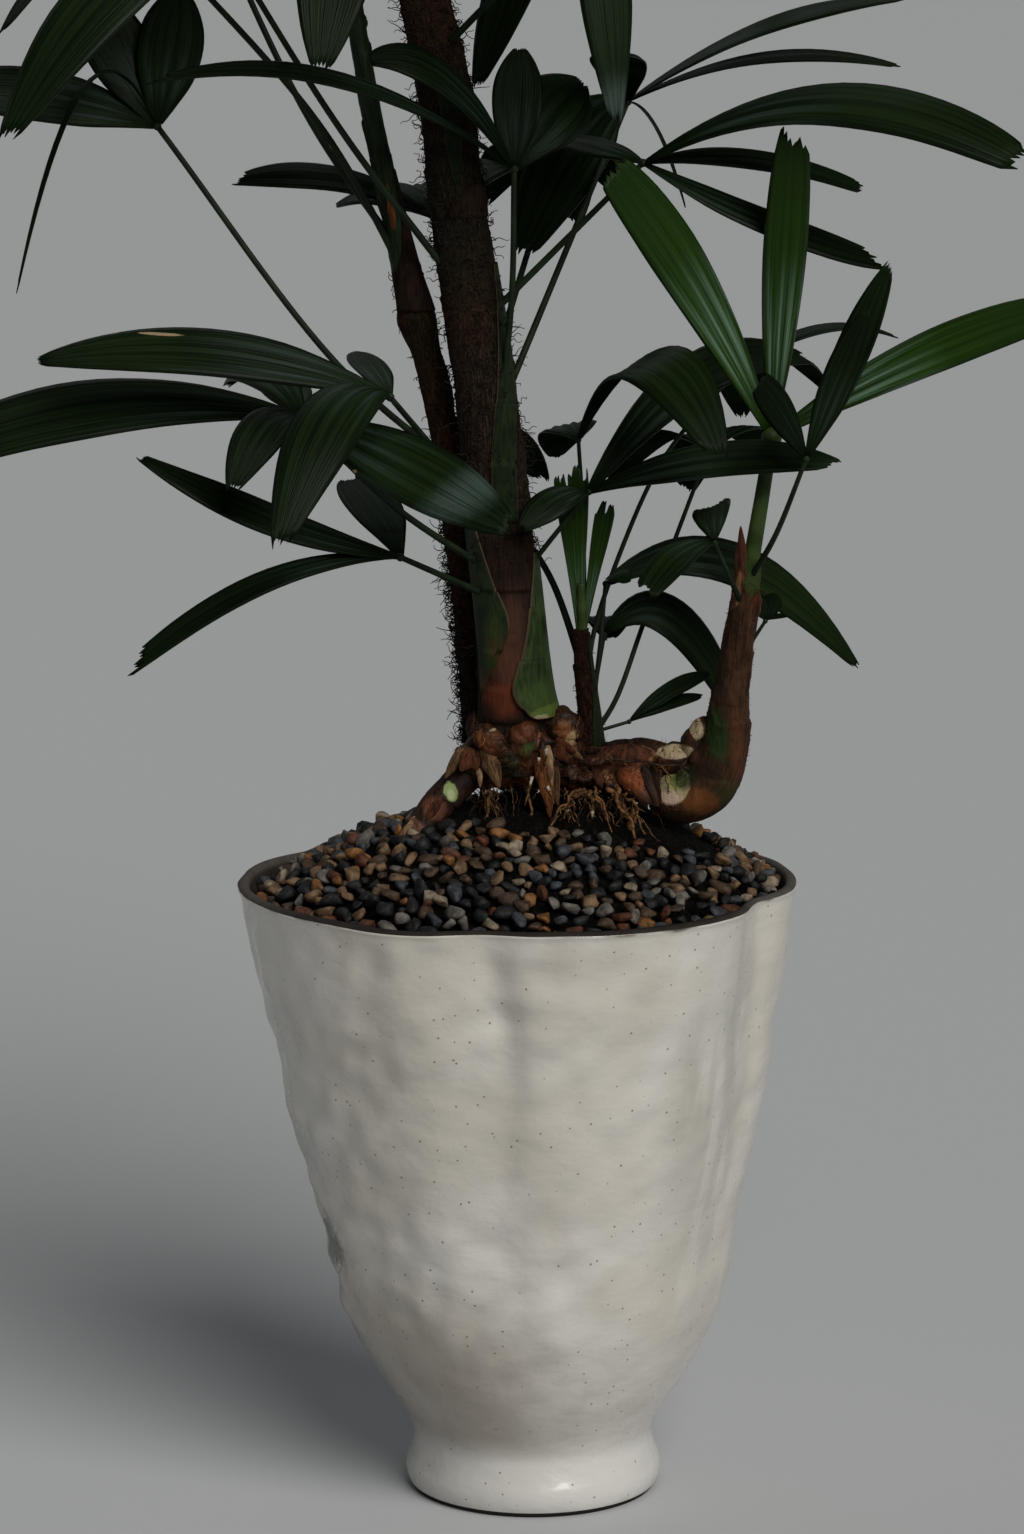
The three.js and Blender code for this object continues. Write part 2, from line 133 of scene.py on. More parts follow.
# %% Shader expressions
class Wire:
    """The output of a shader node, for use in arithmetic."""

    def __init__(self, paint, socket):
        self.paint = paint
        self.socket = socket

    def math(self, operation, *values):
        return self.paint.node("Math", {"operation": operation}, dict(enumerate(values)))

    def __add__(self, other):
        return self.math("ADD", self, other)

    def __sub__(self, other):
        return self.math("SUBTRACT", self, other)

    def __rsub__(self, other):
        return self.math("SUBTRACT", other, self)

    def __mul__(self, other):
        return self.math("MULTIPLY", self, other)

    __radd__ = __add__
    __rmul__ = __mul__


class Paint:
    """A material, and the methods that add nodes to it."""

    def __init__(self, name, **constants):
        self.material = bpy.data.materials.new(name)
        self.material.use_nodes = True
        self.tree = self.material.node_tree
        self.surface = self.tree.nodes["Principled BSDF"]
        for key, value in constants.items():
            self.feed(self.surface.inputs[key.replace("_", " ")], value)
        self.place = self.node("TexCoord", output="Object")
        self.uv = self.node("TexCoord", output="UV")

    def feed(self, socket, value):
        if isinstance(value, Wire):
            self.tree.links.new(value.socket, socket)
        else:
            socket.default_value = value

    def node(self, kind, settings=None, inputs=None, output=0):
        made = self.tree.nodes.new("ShaderNode" + kind)
        for key, value in (settings or {}).items():
            setattr(made, key, value)
        for key, value in (inputs or {}).items():
            self.feed(made.inputs[key], value)
        return Wire(self, made.outputs[output])

    def stretch(self, vector, scale, turn=0.0):
        """The vector, scaled along each axis and then turned by degrees round its third one."""
        rotation = (0, 0, math.radians(turn))
        return self.node("Mapping", {}, {"Vector": vector, "Scale": scale, "Rotation": rotation})

    def noise(self, vector, scale, detail=3.0, warp=0.0):
        inputs = {"Vector": vector, "Scale": scale, "Detail": detail, "Distortion": warp}
        return self.node("TexNoise", {}, inputs)

    def cells(self, vector, scale):
        """How far each point is from the nearest of some scattered points, in cells."""
        return self.node("TexVoronoi", {}, {"Vector": vector, "Scale": scale})

    def ramp(self, value, low, high):
        """A mask that goes smoothly from 0 where value is at low to 1 where it is at high."""
        bounds = {"Value": value, "From Min": low, "From Max": high}
        return self.node("MapRange", {"interpolation_type": "SMOOTHSTEP"}, bounds)

    def blend(self, mask, first, second):
        """The first colour where the mask is 0 and the second where it is 1."""
        return self.node("Mix", {"data_type": "RGBA"}, {0: mask, 6: first, 7: second}, output=2)

    def parts(self, vector):
        """A vector's X, Y and Z as three wires."""
        return [self.node("SeparateXYZ", {}, {"Vector": vector}, output=k) for k in (0, 1, 2)]

    def spot(self, middle, size, ragged=0.5, lean=0.0, soft=0.18):
        """A mask that is 1 inside a blob with a middle and half sizes, leaned in degrees about Y.

        ragged is how far the blob's edge strays, and soft is how wide it fades, both as shares of its size.
        """
        away = self.node("VectorMath", {"operation": "SUBTRACT"}, {0: self.place, 1: vec(middle)})
        scale = [1 / (part * MM) for part in size]
        turned = self.node("Mapping", {}, {"Vector": away, "Rotation": (0, math.radians(lean), 0)})
        shrunk = self.node("VectorMath", {"operation": "MULTIPLY"}, {0: turned, 1: scale})
        reach = self.node("VectorMath", {"operation": "LENGTH"}, {0: shrunk}, output=1)
        return 1 - self.ramp(reach + (self.noise(self.place, 420) - 0.5) * ragged, 1 - soft, 1 + soft / 2)

    def bump(self, height, depth):
        """Raises the surface by height, which runs from 0 to 1, times a depth in metres."""
        normal = self.node("Bump", {}, {"Height": height, "Distance": depth})
        self.feed(self.surface.inputs["Normal"], normal)

    def coat(self, colour, roughness):
        self.feed(self.surface.inputs["Base Color"], colour)
        self.feed(self.surface.inputs["Roughness"], roughness)
        return self.material


def rgb(red, green, blue):
    return (red, green, blue, 1)


def vec(point):
    """A point in millimetres as a vector in metres."""
    return Vector(point) * MM


floor_paint = Paint("floor", Specular_IOR_Level=0.1)
floor.data.materials.append(floor_paint.coat(rgb(0.52, 0.53, 0.54), 0.8))
print("shader helpers ready")

# %% [markdown]
# The plant's limbs follow smooth curves through a few points. The curve used here is the centripetal
# Catmull-Rom, which passes through every point and never loops, and it is read at an even share of its
# length. A profile, such as the pot's wall or a leaflet's width, is a short list of pairs with a smooth
# line drawn through them.


# %% Curves and profiles
def heading(angle):
    """The level direction at an angle in degrees, from +X towards +Y."""
    return Vector((math.cos(math.radians(angle)), math.sin(math.radians(angle)), 0))


def smooth(pairs, x):
    """The value at x on a smooth line through [x, value] pairs."""
    if x <= pairs[0][0]:
        return pairs[0][1]
    if x >= pairs[-1][0]:
        return pairs[-1][1]
    k = max(i for i in range(len(pairs) - 1) if pairs[i][0] <= x)
    slopes = []
    for i in (k, k + 1):
        before, after = pairs[max(i - 1, 0)], pairs[min(i + 1, len(pairs) - 1)]
        slopes.append((after[1] - before[1]) / (after[0] - before[0]))
    width = pairs[k + 1][0] - pairs[k][0]
    t = (x - pairs[k][0]) / width
    value = pairs[k][1] * (1 + 2 * t) * (1 - t) ** 2 + pairs[k + 1][1] * t * t * (3 - 2 * t)
    return value + width * t * (1 - t) * (slopes[0] * (1 - t) - slopes[1] * t)


# How many straight steps a path takes from one of its points to the next.
PATH_STEPS = 24


class Path:
    """A smooth curve through points in metres, read at a share of its length."""

    def __init__(self, points):
        ends = [points[0] * 2 - points[1], *points, points[-1] * 2 - points[-2]]
        self.points = []
        for p0, p1, p2, p3 in zip(ends, ends[1:], ends[2:], ends[3:]):
            d0, d1, d2 = [(b - a).length ** 0.5 for a, b in ((p0, p1), (p1, p2), (p2, p3))]
            leave = ((p1 - p0) / d0 - (p2 - p0) / (d0 + d1) + (p2 - p1) / d1) * d1
            arrive = ((p2 - p1) / d1 - (p3 - p1) / (d1 + d2) + (p3 - p2) / d2) * d1
            for k in range(PATH_STEPS):
                t = k / PATH_STEPS
                rise = t * t * (3 - 2 * t)
                bow = leave * t * (1 - t) ** 2 - arrive * t * t * (1 - t)
                self.points.append(p1 * (1 - rise) + p2 * rise + bow)
        self.points.append(points[-1])
        steps = [(b - a).length for a, b in zip(self.points, self.points[1:])]
        self.reach = np.concatenate([[0], np.cumsum(steps)])
        self.length = float(self.reach[-1])

    def at(self, share):
        where = min(max(share, 0), 1) * self.length
        k = min(int(np.searchsorted(self.reach, where, side="right")) - 1, len(self.points) - 2)
        t = (where - self.reach[k]) / (self.reach[k + 1] - self.reach[k])
        return self.points[k].lerp(self.points[k + 1], float(t))

    def direction(self, share):
        return (self.at(share + 0.01) - self.at(share - 0.01)).normalized()

    def share_at_height(self, height):
        """The share of the length where the curve is nearest to a height."""
        k = min(range(len(self.points)), key=lambda i: abs(self.points[i].z - height))
        return float(self.reach[k] / self.length)


print("a quarter of a smooth step from 0 to 1:", smooth([[0, 0], [1, 1]], 0.25))

# %% [markdown]
# Every soft or round shape below starts as a flat grid of squares, and each corner is then moved to its
# place: onto a leaflet's blade, or round a stem. A grid keeps the faces even and gives each corner a pair
# of numbers, across and along, which the shape is worked out from and the material's pattern follows. A
# tube's grid is rolled up, its seam and its two ends are merged, and nothing is left open.


# %% Grids, tubes and balls
# Corners nearer to each other than this, in metres, are merged.
WELD = 1e-6


def dress_faces(corners, slot):
    """Gives the faces round some corners a material and smooth shading, and returns them."""
    faces = {face for corner in corners for face in corner.link_faces}
    for face in faces:
        face.material_index = slot
        face.smooth = True
    return faces


def add_grid(bm, columns, rows, place, slot=0, texture=(1, 1)):
    """Adds a grid whose corners go where place(across, along) says, with both numbers from 0 to 1.

    texture is how many units of the material's pattern the grid takes each way.
    """
    layer = bm.loops.layers.uv.verify()
    corners = bmesh.ops.create_grid(bm, x_segments=columns, y_segments=rows, size=0.5)["verts"]
    for face in dress_faces(corners, slot):
        for loop in face.loops:
            loop[layer].uv = ((loop.vert.co.x + 0.5) * texture[0], (loop.vert.co.y + 0.5) * texture[1])
    for corner in corners:
        corner.co = place(corner.co.x + 0.5, corner.co.y + 0.5)
    return corners


def turning_frames(path, rows):
    """Two directions square to the path at each row, which follow its bends without twisting."""
    frames = []
    side = Vector((0, 1, 0))
    for k in range(rows + 1):
        ahead = path.direction(k / rows)
        side = (side - ahead * side.dot(ahead)).normalized()
        frames.append((side, ahead.cross(side)))
    return frames


def add_tube(bm, path, radius, columns, rows, slot=0):
    """Adds a closed tube round a path.

    radius(share, angle) is its radius in metres, with the seam at its back at angle 0.
    """
    frames = turning_frames(path, rows)

    def place(across, along):
        row = round(along * (rows + 2)) - 1
        share = min(max(row / rows, 0), 1)
        side, other = frames[min(max(row, 0), rows)]
        if row < 0 or row > rows:
            return path.at(share)
        angle = across * math.tau
        r = radius(share, angle if across < 1 else 0)
        return path.at(share) + (side * math.cos(angle) + other * math.sin(angle)) * r

    girth = math.tau * radius(0.5, 0)
    corners = add_grid(bm, columns, rows + 2, place, slot, (girth, path.length))
    bmesh.ops.remove_doubles(bm, verts=corners, dist=WELD)


def add_ball(bm, subdivisions, radius, place, slot=0):
    """Adds a ball, put in its place by a matrix, and returns its corners."""
    corners = bmesh.ops.create_icosphere(bm, subdivisions=subdivisions, radius=radius, matrix=place)["verts"]
    dress_faces(corners, slot)
    return corners


def add_piece(name, mesh, materials, nodes):
    """Makes an object of a mesh, gives it its materials, and says which nodes it stands for."""
    for material in materials:
        mesh.materials.append(material)
    piece = bpy.data.objects.new(name, mesh)
    bpy.context.collection.objects.link(piece)
    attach(piece, "root")
    if nodes:
        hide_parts(*nodes)
    print(f"{name}: {len(mesh.polygons)} faces")
    return piece


def finish_piece(name, bm, materials, nodes):
    """Makes a bmesh a piece."""
    mesh = bpy.data.meshes.new(name)
    bm.to_mesh(mesh)
    bm.free()
    return add_piece(name, mesh, materials, nodes)


def bumpy(point, size, seed=0.0):
    """A smooth random number from about -1 to 1 at a point, with bumps about as wide as size."""
    return noise.noise(point / size + Vector((seed, seed, seed)))


print("mesh helpers ready")

# %% [markdown]
# ## The pot
#
# The pot is thrown and then pinched by hand. Its wall is a profile turned round an axis, which `spin` does,
# and each corner is then pushed in or out: pinched at four creases that fade towards the foot, and dimpled
# all over by fingers. The rim, the inner wall and the foot's bottom are bare clay, so they get a second
# material.

# %% Pot shape
POT_HEIGHT = 256
POT_WALL = 7
RIM_WALL = 4.6
POT_FLOOR = 14
# How far the rim's middle is from the foot's, along X.
RIM_SHIFT = -6.5
# The creases' headings and width in degrees, and their depth at the rim.
CREASES = [-98, -26, 61, 148]
CREASE_WIDTH = 9
CREASE_DEPTH = 6.5
# How far the wall swells out between two creases, at the rim.
LOBE_SWELL = 2.5
# The outer wall's mean radius at each height.
POT_PROFILE = [
    [0, 50], [3, 52], [9, 52.8], [16, 50.6], [23, 49.2], [30, 51.6], [38, 56.5], [48, 63], [62, 70.5],
    [80, 77.6], [104, 83.8], [134, 90], [168, 96.8], [204, 103.6], [236, 109.2], [256, 112.5],
]


def pot_relief(angle, z):
    """How far the wall stands out at a heading and a height, in millimetres."""
    nearest = min(abs((angle - crease + 540) % 360 - 180) for crease in CREASES) / CREASE_WIDTH
    swell = 1 - math.exp(-((nearest / 3) ** 2))
    pinch = math.exp(-(nearest**2))
    return (z / POT_HEIGHT) ** 1.6 * (LOBE_SWELL * swell - CREASE_DEPTH * pinch)


def pot_shift(z):
    """How far the pot's leaning axis is from the foot's centre at a height, along X."""
    return RIM_SHIFT * (z / POT_HEIGHT) ** 1.5


def fold(angle, z):
    """How far the wall stands out at a crease's sharp furrow, which wanders and fades as it goes down."""
    wander = 5 * math.sin(z / 42)
    nearest = min(abs((angle - crease + wander + 540) % 360 - 180) for crease in CREASES)
    fade = smooth([[100, 0], [150, 0.3], [200, 0.8], [236, 1], [256, 0.3]], z)
    return -1.2 * math.exp(-((nearest / 3.2) ** 2)) * fade


def finger_marks(point, z):
    """The small dents that fingers left in the clay, in millimetres. They sit in slanted rows."""
    row = Matrix.Rotation(math.radians(35), 3, "Y") @ point
    dents = 1.7 * bumpy(Vector((row.x, row.y, row.z * 1.4)), 0.016, 3)
    dents += 0.4 * bumpy(point, 0.009, 8)
    bands = 0.45 * math.sin(z / 11 + 2.6 * bumpy(point, 0.09))
    swell = 1.3 * bumpy(point, 0.05, 1)
    left = 0.75 - 0.5 * math.tanh(point.x / 0.03)
    patchy = 0.32 + left * max(0, min(1, 0.5 + 1.6 * bumpy(point, 0.07, 9)))
    fade = smooth([[0, 0], [20, 0.1], [56, 0.8], [80, 1], [240, 0.9], [254, 0.3]], z)
    return fade * (dents * patchy + bands + swell)


def spun(profile, columns):
    """A closed shell: a profile of [radius, height] that starts and ends on the axis, turned round it."""
    bm = bmesh.new()
    points = [bm.verts.new((r * MM, 0, z * MM)) for r, z in profile]
    edges = [bm.edges.new(pair) for pair in zip(points, points[1:])]
    turn = {"axis": (0, 0, 1), "cent": (0, 0, 0), "angle": math.tau, "steps": columns, "use_merge": True}
    bmesh.ops.spin(bm, geom=points + edges, **turn)
    bmesh.ops.remove_doubles(bm, verts=bm.verts, dist=WELD)
    bmesh.ops.recalc_face_normals(bm, faces=bm.faces)
    for face in bm.faces:
        face.smooth = True
    return bm


def wall_radius(z):
    """The outer wall's mean radius at a height."""
    return smooth(POT_PROFILE, z)


print("rim:", 2 * wall_radius(POT_HEIGHT), "mm across")

# %% Pot
# The radius of the lip's round edge, and the bevel at its inner side.
LIP = 2.4
LIP_BEVEL = 1.5
# Where the inner wall's profile starts and ends.
INNER_TOP = POT_HEIGHT - 4
INNER_FOOT = 24
# How far the bare clay reaches down from the rim and up from the foot's bottom.
BARE_RIM = 1.3
BARE_FOOT = 1.2

outer = [[wall_radius(z), z] for z in np.linspace(0, POT_HEIGHT - LIP, 124)]
lip_middle = wall_radius(POT_HEIGHT) - LIP
lip = []
for turn in np.linspace(10, 80, 5):
    bend = math.radians(turn)
    lip.append([lip_middle + LIP * math.cos(bend), POT_HEIGHT - LIP + LIP * math.sin(bend)])
lip.append([lip_middle - LIP_BEVEL, POT_HEIGHT])
lip.append([wall_radius(POT_HEIGHT) - RIM_WALL, POT_HEIGHT - LIP_BEVEL])
inner = []
for z in np.linspace(INNER_TOP, INNER_FOOT, 24):
    wall = smooth([[INNER_FOOT, POT_WALL], [236, POT_WALL], [250, RIM_WALL]], z)
    inner.append([wall_radius(z) - wall, z])
profile = [[0, 0], [25, 0], [47, 0], *outer, *lip, *inner, [30, POT_FLOOR], [0, POT_FLOOR]]
pot = spun(profile, 240)
for face in pot.faces:
    middle = face.calc_center_median() / MM
    inside = math.hypot(middle.x, middle.y) < wall_radius(middle.z) - RIM_WALL + 1
    bare = middle.z > POT_HEIGHT - BARE_RIM or middle.z < BARE_FOOT or inside
    face.material_index = 1 if bare else 0
for corner in pot.verts:
    z = corner.co.z / MM
    r = math.hypot(corner.co.x, corner.co.y) / MM
    angle = math.degrees(math.atan2(corner.co.y, corner.co.x))
    out = heading(angle)
    share = r / wall_radius(min(z, POT_HEIGHT))
    spot = out * (r * MM) + Vector((0, 0, z * MM))
    outside = share > 0.97
    r += share**4 * pot_relief(angle, z) + outside * (finger_marks(spot, z) + fold(angle, z))
    wave = 1.3 * bumpy(out, 0.8, 5) + 0.5 * bumpy(out, 0.25, 5) - 0.6
    z += wave * smooth([[0, 0], [200, 0], [256, 1]], z)
    corner.co = vec((r * out.x + pot_shift(z), r * out.y, z))
print("pot:", len(pot.faces), "faces")

# %% [markdown]
# The glaze is a milky white over brown clay. It is thick and bright on the foot and in runs, and thinner
# and warmer where the wall turns sharply or was wiped. Iron specks have burnt through it. A large soft
# noise mixes the two tints, scattered cells make the specks, and a coat gives it its wet gloss. The wall's
# lower left is darkened, partly for a thinner, browner glaze and partly as painted shade. The clay is dark.
# Painted light makes the lip pale at its back, where the light falls, but not at its front, and the clay
# below the lip stays dark.


# %% Glaze and clay
def glaze_paint():
    paint = Paint("glaze", Coat_Weight=0.5, Coat_Roughness=0.06, Specular_IOR_Level=0.4)
    broad = paint.ramp(paint.noise(paint.place, 16), 0.38, 0.66)
    colour = paint.blend(broad, rgb(0.60, 0.57, 0.50), rgb(0.68, 0.66, 0.61))
    thin = paint.ramp(paint.noise(paint.stretch(paint.place, (22, 22, 12)), 1.0, 5), 0.54, 0.74)
    colour = paint.blend(thin * 0.35, colour, rgb(0.42, 0.38, 0.31))
    wiped = paint.spot((72, -72, 180), (22, 44, 90), 0.2, -8, 0.6)
    colour = paint.blend(wiped * 0.5, colour, rgb(0.39, 0.39, 0.33))
    drips = paint.ramp(paint.noise(paint.stretch(paint.place, (60, 60, 6)), 1.0, 3), 0.47, 0.66)
    runs = drips * (paint.spot((76, -60, 165), (26, 60, 95), 0.2, -8, 0.6) * 0.9 + 0.1)
    # Painted shade on the wall's lower left, which also stands for the thinner, browner glaze there.
    low = paint.spot((-54, -50, 42), (66, 66, 62), 0.15, 0, 0.7)
    colour = paint.blend(low * (thin * 0.3 + 0.6), colour, rgb(0.20, 0.160, 0.125))
    colour = paint.blend(runs * 0.6, colour, rgb(0.70, 0.685, 0.64))
    chipped = paint.spot((-84, -28, 108), (7, 26, 12), 1.2, 10, 0.3)
    colour = paint.blend(chipped * 0.85, colour, rgb(0.075, 0.058, 0.045))
    height = paint.parts(paint.place)[2]
    foot = 1 - paint.ramp(height, 0.020, 0.034)
    colour = paint.blend(foot * 0.85, colour, rgb(0.63, 0.62, 0.59))
    under_rim = paint.ramp(height + paint.noise(paint.place, 60) * 0.004, 0.2552, 0.2570)
    colour = paint.blend(under_rim * 0.95, colour, rgb(0.040, 0.030, 0.024))
    specks = 1 - paint.ramp(paint.cells(paint.place, 190), 0.05, 0.12)
    colour = paint.blend(specks * 0.8, colour, rgb(0.14, 0.07, 0.035))
    dents = paint.noise(paint.stretch(paint.place, (60, 60, 90)), 1.0)
    orange_peel = paint.noise(paint.place, 700, 1)
    paint.bump(dents * 0.8 + runs * 0.15 + orange_peel * 0.03, 0.0011)
    return paint.coat(colour, paint.noise(paint.place, 40) * 0.2 + 0.16)


def clay_paint():
    """Bare clay, dark inside the rim and under the foot. The lip's back is made pale as painted light."""
    paint = Paint("bare_clay", Specular_IOR_Level=0.15)
    grain = paint.noise(paint.place, 160)
    _, depth, height = paint.parts(paint.place)
    # Painted light: the lip's back, where the light falls, is paler than its shaded front.
    lit_back_of_lip = paint.ramp(depth, -0.085, -0.030) * paint.ramp(height, 0.2520, 0.2545)
    dark = paint.blend(grain, rgb(0.012, 0.0095, 0.008), rgb(0.036, 0.029, 0.024))
    pale = paint.blend(grain, rgb(0.045, 0.040, 0.034), rgb(0.105, 0.096, 0.084))
    paint.bump(paint.noise(paint.place, 1400), 0.0004)
    return paint.coat(paint.blend(lit_back_of_lip, dark, pale), 0.85)


finish_piece("pot_body", pot, [glaze_paint(), clay_paint()], ["pot"])

# %% [markdown]
# ## Soil and gravel
#
# The bed is a mound of dark potting grit, heaped up to the rhizome. Its top is the outline of the mound
# turned round the pot's axis, and a fine noise on its corners makes the crumbs.

# %% Soil
# The bed's height at the wall and at its middle, how flat it is on top, and how far it keeps from the wall.
SOIL_EDGE = 246
SOIL_CROWN = 279
SOIL_FLATNESS = 3.4
SOIL_CLEAR = 1.2
# Corners above this height belong to the bed's top.
SOIL_TOP = 240
HEAP = {"x": 14, "y": 2, "wide": 62, "deep": 34, "rise": 12}
brim = wall_radius(SOIL_EDGE) - POT_WALL - SOIL_CLEAR


def heap(x, y):
    """How much the grit is heaped up round the rhizome."""
    away = math.hypot((x - HEAP["x"]) / HEAP["wide"], (y - HEAP["y"]) / HEAP["deep"])
    return HEAP["rise"] * math.exp(-(away**2.4))


def mound_height(share):
    """The height of the mound at a share of the way to the pot's wall."""
    return SOIL_EDGE + (SOIL_CROWN - SOIL_EDGE) * (1 - share**SOIL_FLATNESS)


def mound_point(angle, share, lift):
    """A point lifted over the bed's surface, at a heading and a share of the way to the pot's wall."""
    r = share * (brim + share**3 * pot_relief(angle, SOIL_EDGE))
    out = heading(angle) * r
    x = out.x + pot_shift(SOIL_EDGE)
    return vec((x, out.y, mound_height(share) + heap(x, out.y) + lift))


mound = [[brim * share, mound_height(share) - 3] for share in np.linspace(1, 0, 44)]
soil = spun([[0, 200], [brim - 16, 200], [brim - 3, 236], *mound], 144)
for corner in soil.verts:
    angle = math.degrees(math.atan2(corner.co.y, corner.co.x))
    share = math.hypot(corner.co.x, corner.co.y) / MM / brim
    top = corner.co.z > SOIL_TOP * MM
    corner.co += heading(angle) * (share**4 * pot_relief(angle, SOIL_EDGE) * MM)
    corner.co.x += pot_shift(SOIL_EDGE) * MM
    if top:
        grain = 2.2 * bumpy(corner.co, 0.009) + 1.3 * bumpy(corner.co, 0.004)
        corner.co.z += (grain + heap(corner.co.x / MM, corner.co.y / MM)) * MM


def soil_paint():
    paint = Paint("potting_grit", Specular_IOR_Level=0.1)
    grain = paint.noise(paint.place, 520, 5)
    colour = paint.blend(paint.ramp(grain, 0.5, 0.8), rgb(0.0012, 0.0010, 0.0008), rgb(0.020, 0.0135, 0.0085))
    paint.bump(grain, 0.004)
    return paint.coat(colour, 0.95)


finish_piece("soil_mound", soil, [soil_paint()], ["soil_bed"])

# %% [markdown]
# River gravel lies on the bed in two loose layers, around a bare patch under the rhizome. A stone is a ball
# of 80 faces, pressed flat on a few sides as river stones are. There are hundreds, so they are joined
# from arrays, as that many calls would be slow. A stone is left out where it would crowd one that lies
# there already, and the stones near the wall are banked up against it.

# %% Gravel paints and stones
# Each colour, and how many stones of a hundred or so have it.
STONE_COLOURS = {
    "slate": (rgb(0.050, 0.056, 0.064), 15),
    "charcoal": (rgb(0.013, 0.013, 0.0135), 20),
    "tan": (rgb(0.185, 0.112, 0.060), 20),
    "ochre": (rgb(0.230, 0.100, 0.030), 8),
    "rust": (rgb(0.105, 0.038, 0.018), 7),
    "cream": (rgb(0.290, 0.230, 0.160), 7),
    "umber": (rgb(0.068, 0.041, 0.024), 18),
    "ash": (rgb(0.145, 0.130, 0.112), 12),
}


def stone_paint(name, colour):
    paint = Paint(name, Specular_IOR_Level=0.25)
    mottled = paint.ramp(paint.noise(paint.place, 260, 5), 0.34, 0.64)
    dark = rgb(*[part * 0.4 for part in colour[:3]])
    grain = paint.noise(paint.place, 1100, 2)
    paint.bump(mottled * 0.5 + grain * 0.5, 0.0005)
    return paint.coat(paint.blend(mottled, dark, colour), grain * 0.3 + 0.46)


def array_mesh(name, corners, faces, slots):
    """A smooth mesh from lists of arrays: its corners, its triangles and each triangle's material."""
    mesh = bpy.data.meshes.new(name)
    mesh.from_pydata(np.concatenate(corners), [], np.concatenate(faces))
    mesh.polygons.foreach_set("material_index", np.concatenate(slots))
    mesh.polygons.foreach_set("use_smooth", np.ones(len(mesh.polygons), bool))
    return mesh


def scatter(name, shapes, places, numbers):
    """A mesh of many copies.

    Each place is a 4x4 matrix, each copy takes the next of the shapes, and its number is its material's.
    """
    corners, faces, slots, start = [], [], [], 0
    for k, (place, number) in enumerate(zip(places, numbers)):
        points, triangles = shapes[k % len(shapes)]
        corners.append(points @ np.array(place.to_3x3()).T + np.array(place.translation))
        faces.append(triangles + start)
        slots.append(np.full(len(triangles), number))
        start += len(points)
    return array_mesh(name, corners, faces, slots)


def stone_shape(chance):
    """A ball of radius 1, pressed flat on a few sides and dented, as its corners and its triangles."""
    bm = bmesh.new()
    bmesh.ops.create_icosphere(bm, subdivisions=2, radius=1)
    sides = [Vector([chance.gauss(0, 1) for _ in range(3)]).normalized() for _ in range(9)]
    seed = chance.uniform(0, 50)
    for corner in bm.verts:
        corner.co *= 1.2 + 0.12 * bumpy(corner.co, 0.9, seed)
        for side in sides:
            over = corner.co.dot(side) - 0.64
            if over > 0:
                corner.co -= side * over
    points = np.array([corner.co for corner in bm.verts])
    faces = np.array([[corner.index for corner in face.verts] for face in bm.faces])
    bm.free()
    return points, faces


print("stone colours:", ", ".join(STONE_COLOURS))

# %% Gravel
BARE_PATCH = {"x": 20, "y": -6, "wide": 58, "deep": 28}
LOWER_LAYER = 900
TRIES = 19000
# A stone's least, greatest and most common half length.
STONE_SIZES = (2.4, 5.4, 3.5)
# How much higher the upper layer lies, and how near two stones may come, as a share of their half lengths.
LAYER_RISE = 1.8
CROWDING = 0.7
# How much a stone tips, in radians.
STONE_TIP = 0.4
# From this share of the way to the wall on, stones are banked up, steeper to the right than to the left.
BANK_START = 0.75
BANK_RISE, BANK_EXTRA = 26, 8

chance = random.Random(11)
places, placed = [], []
for attempt in range(TRIES):
    layer = 0 if len(placed) < LOWER_LAYER else 1
    angle = chance.uniform(0, 360)
    share = math.sqrt(chance.uniform(0, 1))
    size = chance.triangular(*STONE_SIZES)
    reach = share * (brim + 1.8 - size * 0.35) / brim
    banked = max(0, reach - BANK_START) * (BANK_RISE + BANK_EXTRA * math.cos(math.radians(angle)))
    spot = mound_point(angle, reach, size * 0.2 - 1.6 + layer * LAYER_RISE + banked)
    ragged = 0.3 * bumpy(spot, 0.013, 4)
    across = (spot.x / MM - BARE_PATCH["x"]) / BARE_PATCH["wide"]
    deep = (spot.y / MM - BARE_PATCH["y"]) / BARE_PATCH["deep"]
    near = placed if layer == 0 else placed[LOWER_LAYER:]
    crowded = any((spot - other).length < (size + beside) * CROWDING * MM for other, beside in near)
    if math.hypot(across, deep) + ragged < 1 or crowded:
        continue
    placed.append((spot, size))
    wide, thick = size * chance.uniform(0.66, 1), size * chance.uniform(0.5, 0.8)
    flat = Matrix.Diagonal((size * MM, wide * MM, thick * MM, 1))
    tip = Matrix.Rotation(chance.gauss(0, STONE_TIP), 4, "X")
    tip = tip @ Matrix.Rotation(chance.gauss(0, STONE_TIP), 4, "Y")
    places.append(Matrix.Translation(spot) @ tip @ Matrix.Rotation(chance.uniform(0, 6.3), 4, "Z") @ flat)
shares = [share for _, share in STONE_COLOURS.values()]
deal = chance.choices(range(len(STONE_COLOURS)), shares, k=len(places))
stones = [stone_paint(name, colour) for name, (colour, _) in STONE_COLOURS.items()]
gravel = scatter("gravel", [stone_shape(chance) for _ in range(24)], places, deal)
add_piece("gravel", gravel, stones, [])
print("gravel:", len(places), "stones")

# %% [markdown]
# ## Canes and rhizome
#
# Each cane is a tube round the same route as its plain solid. Its radius carries the real relief: the
# overlapped edges of old leaf sheaths, knots, and matted fibre. A route is a list of [x, y, z], and a
# stem's radii are [share of the length, radius].

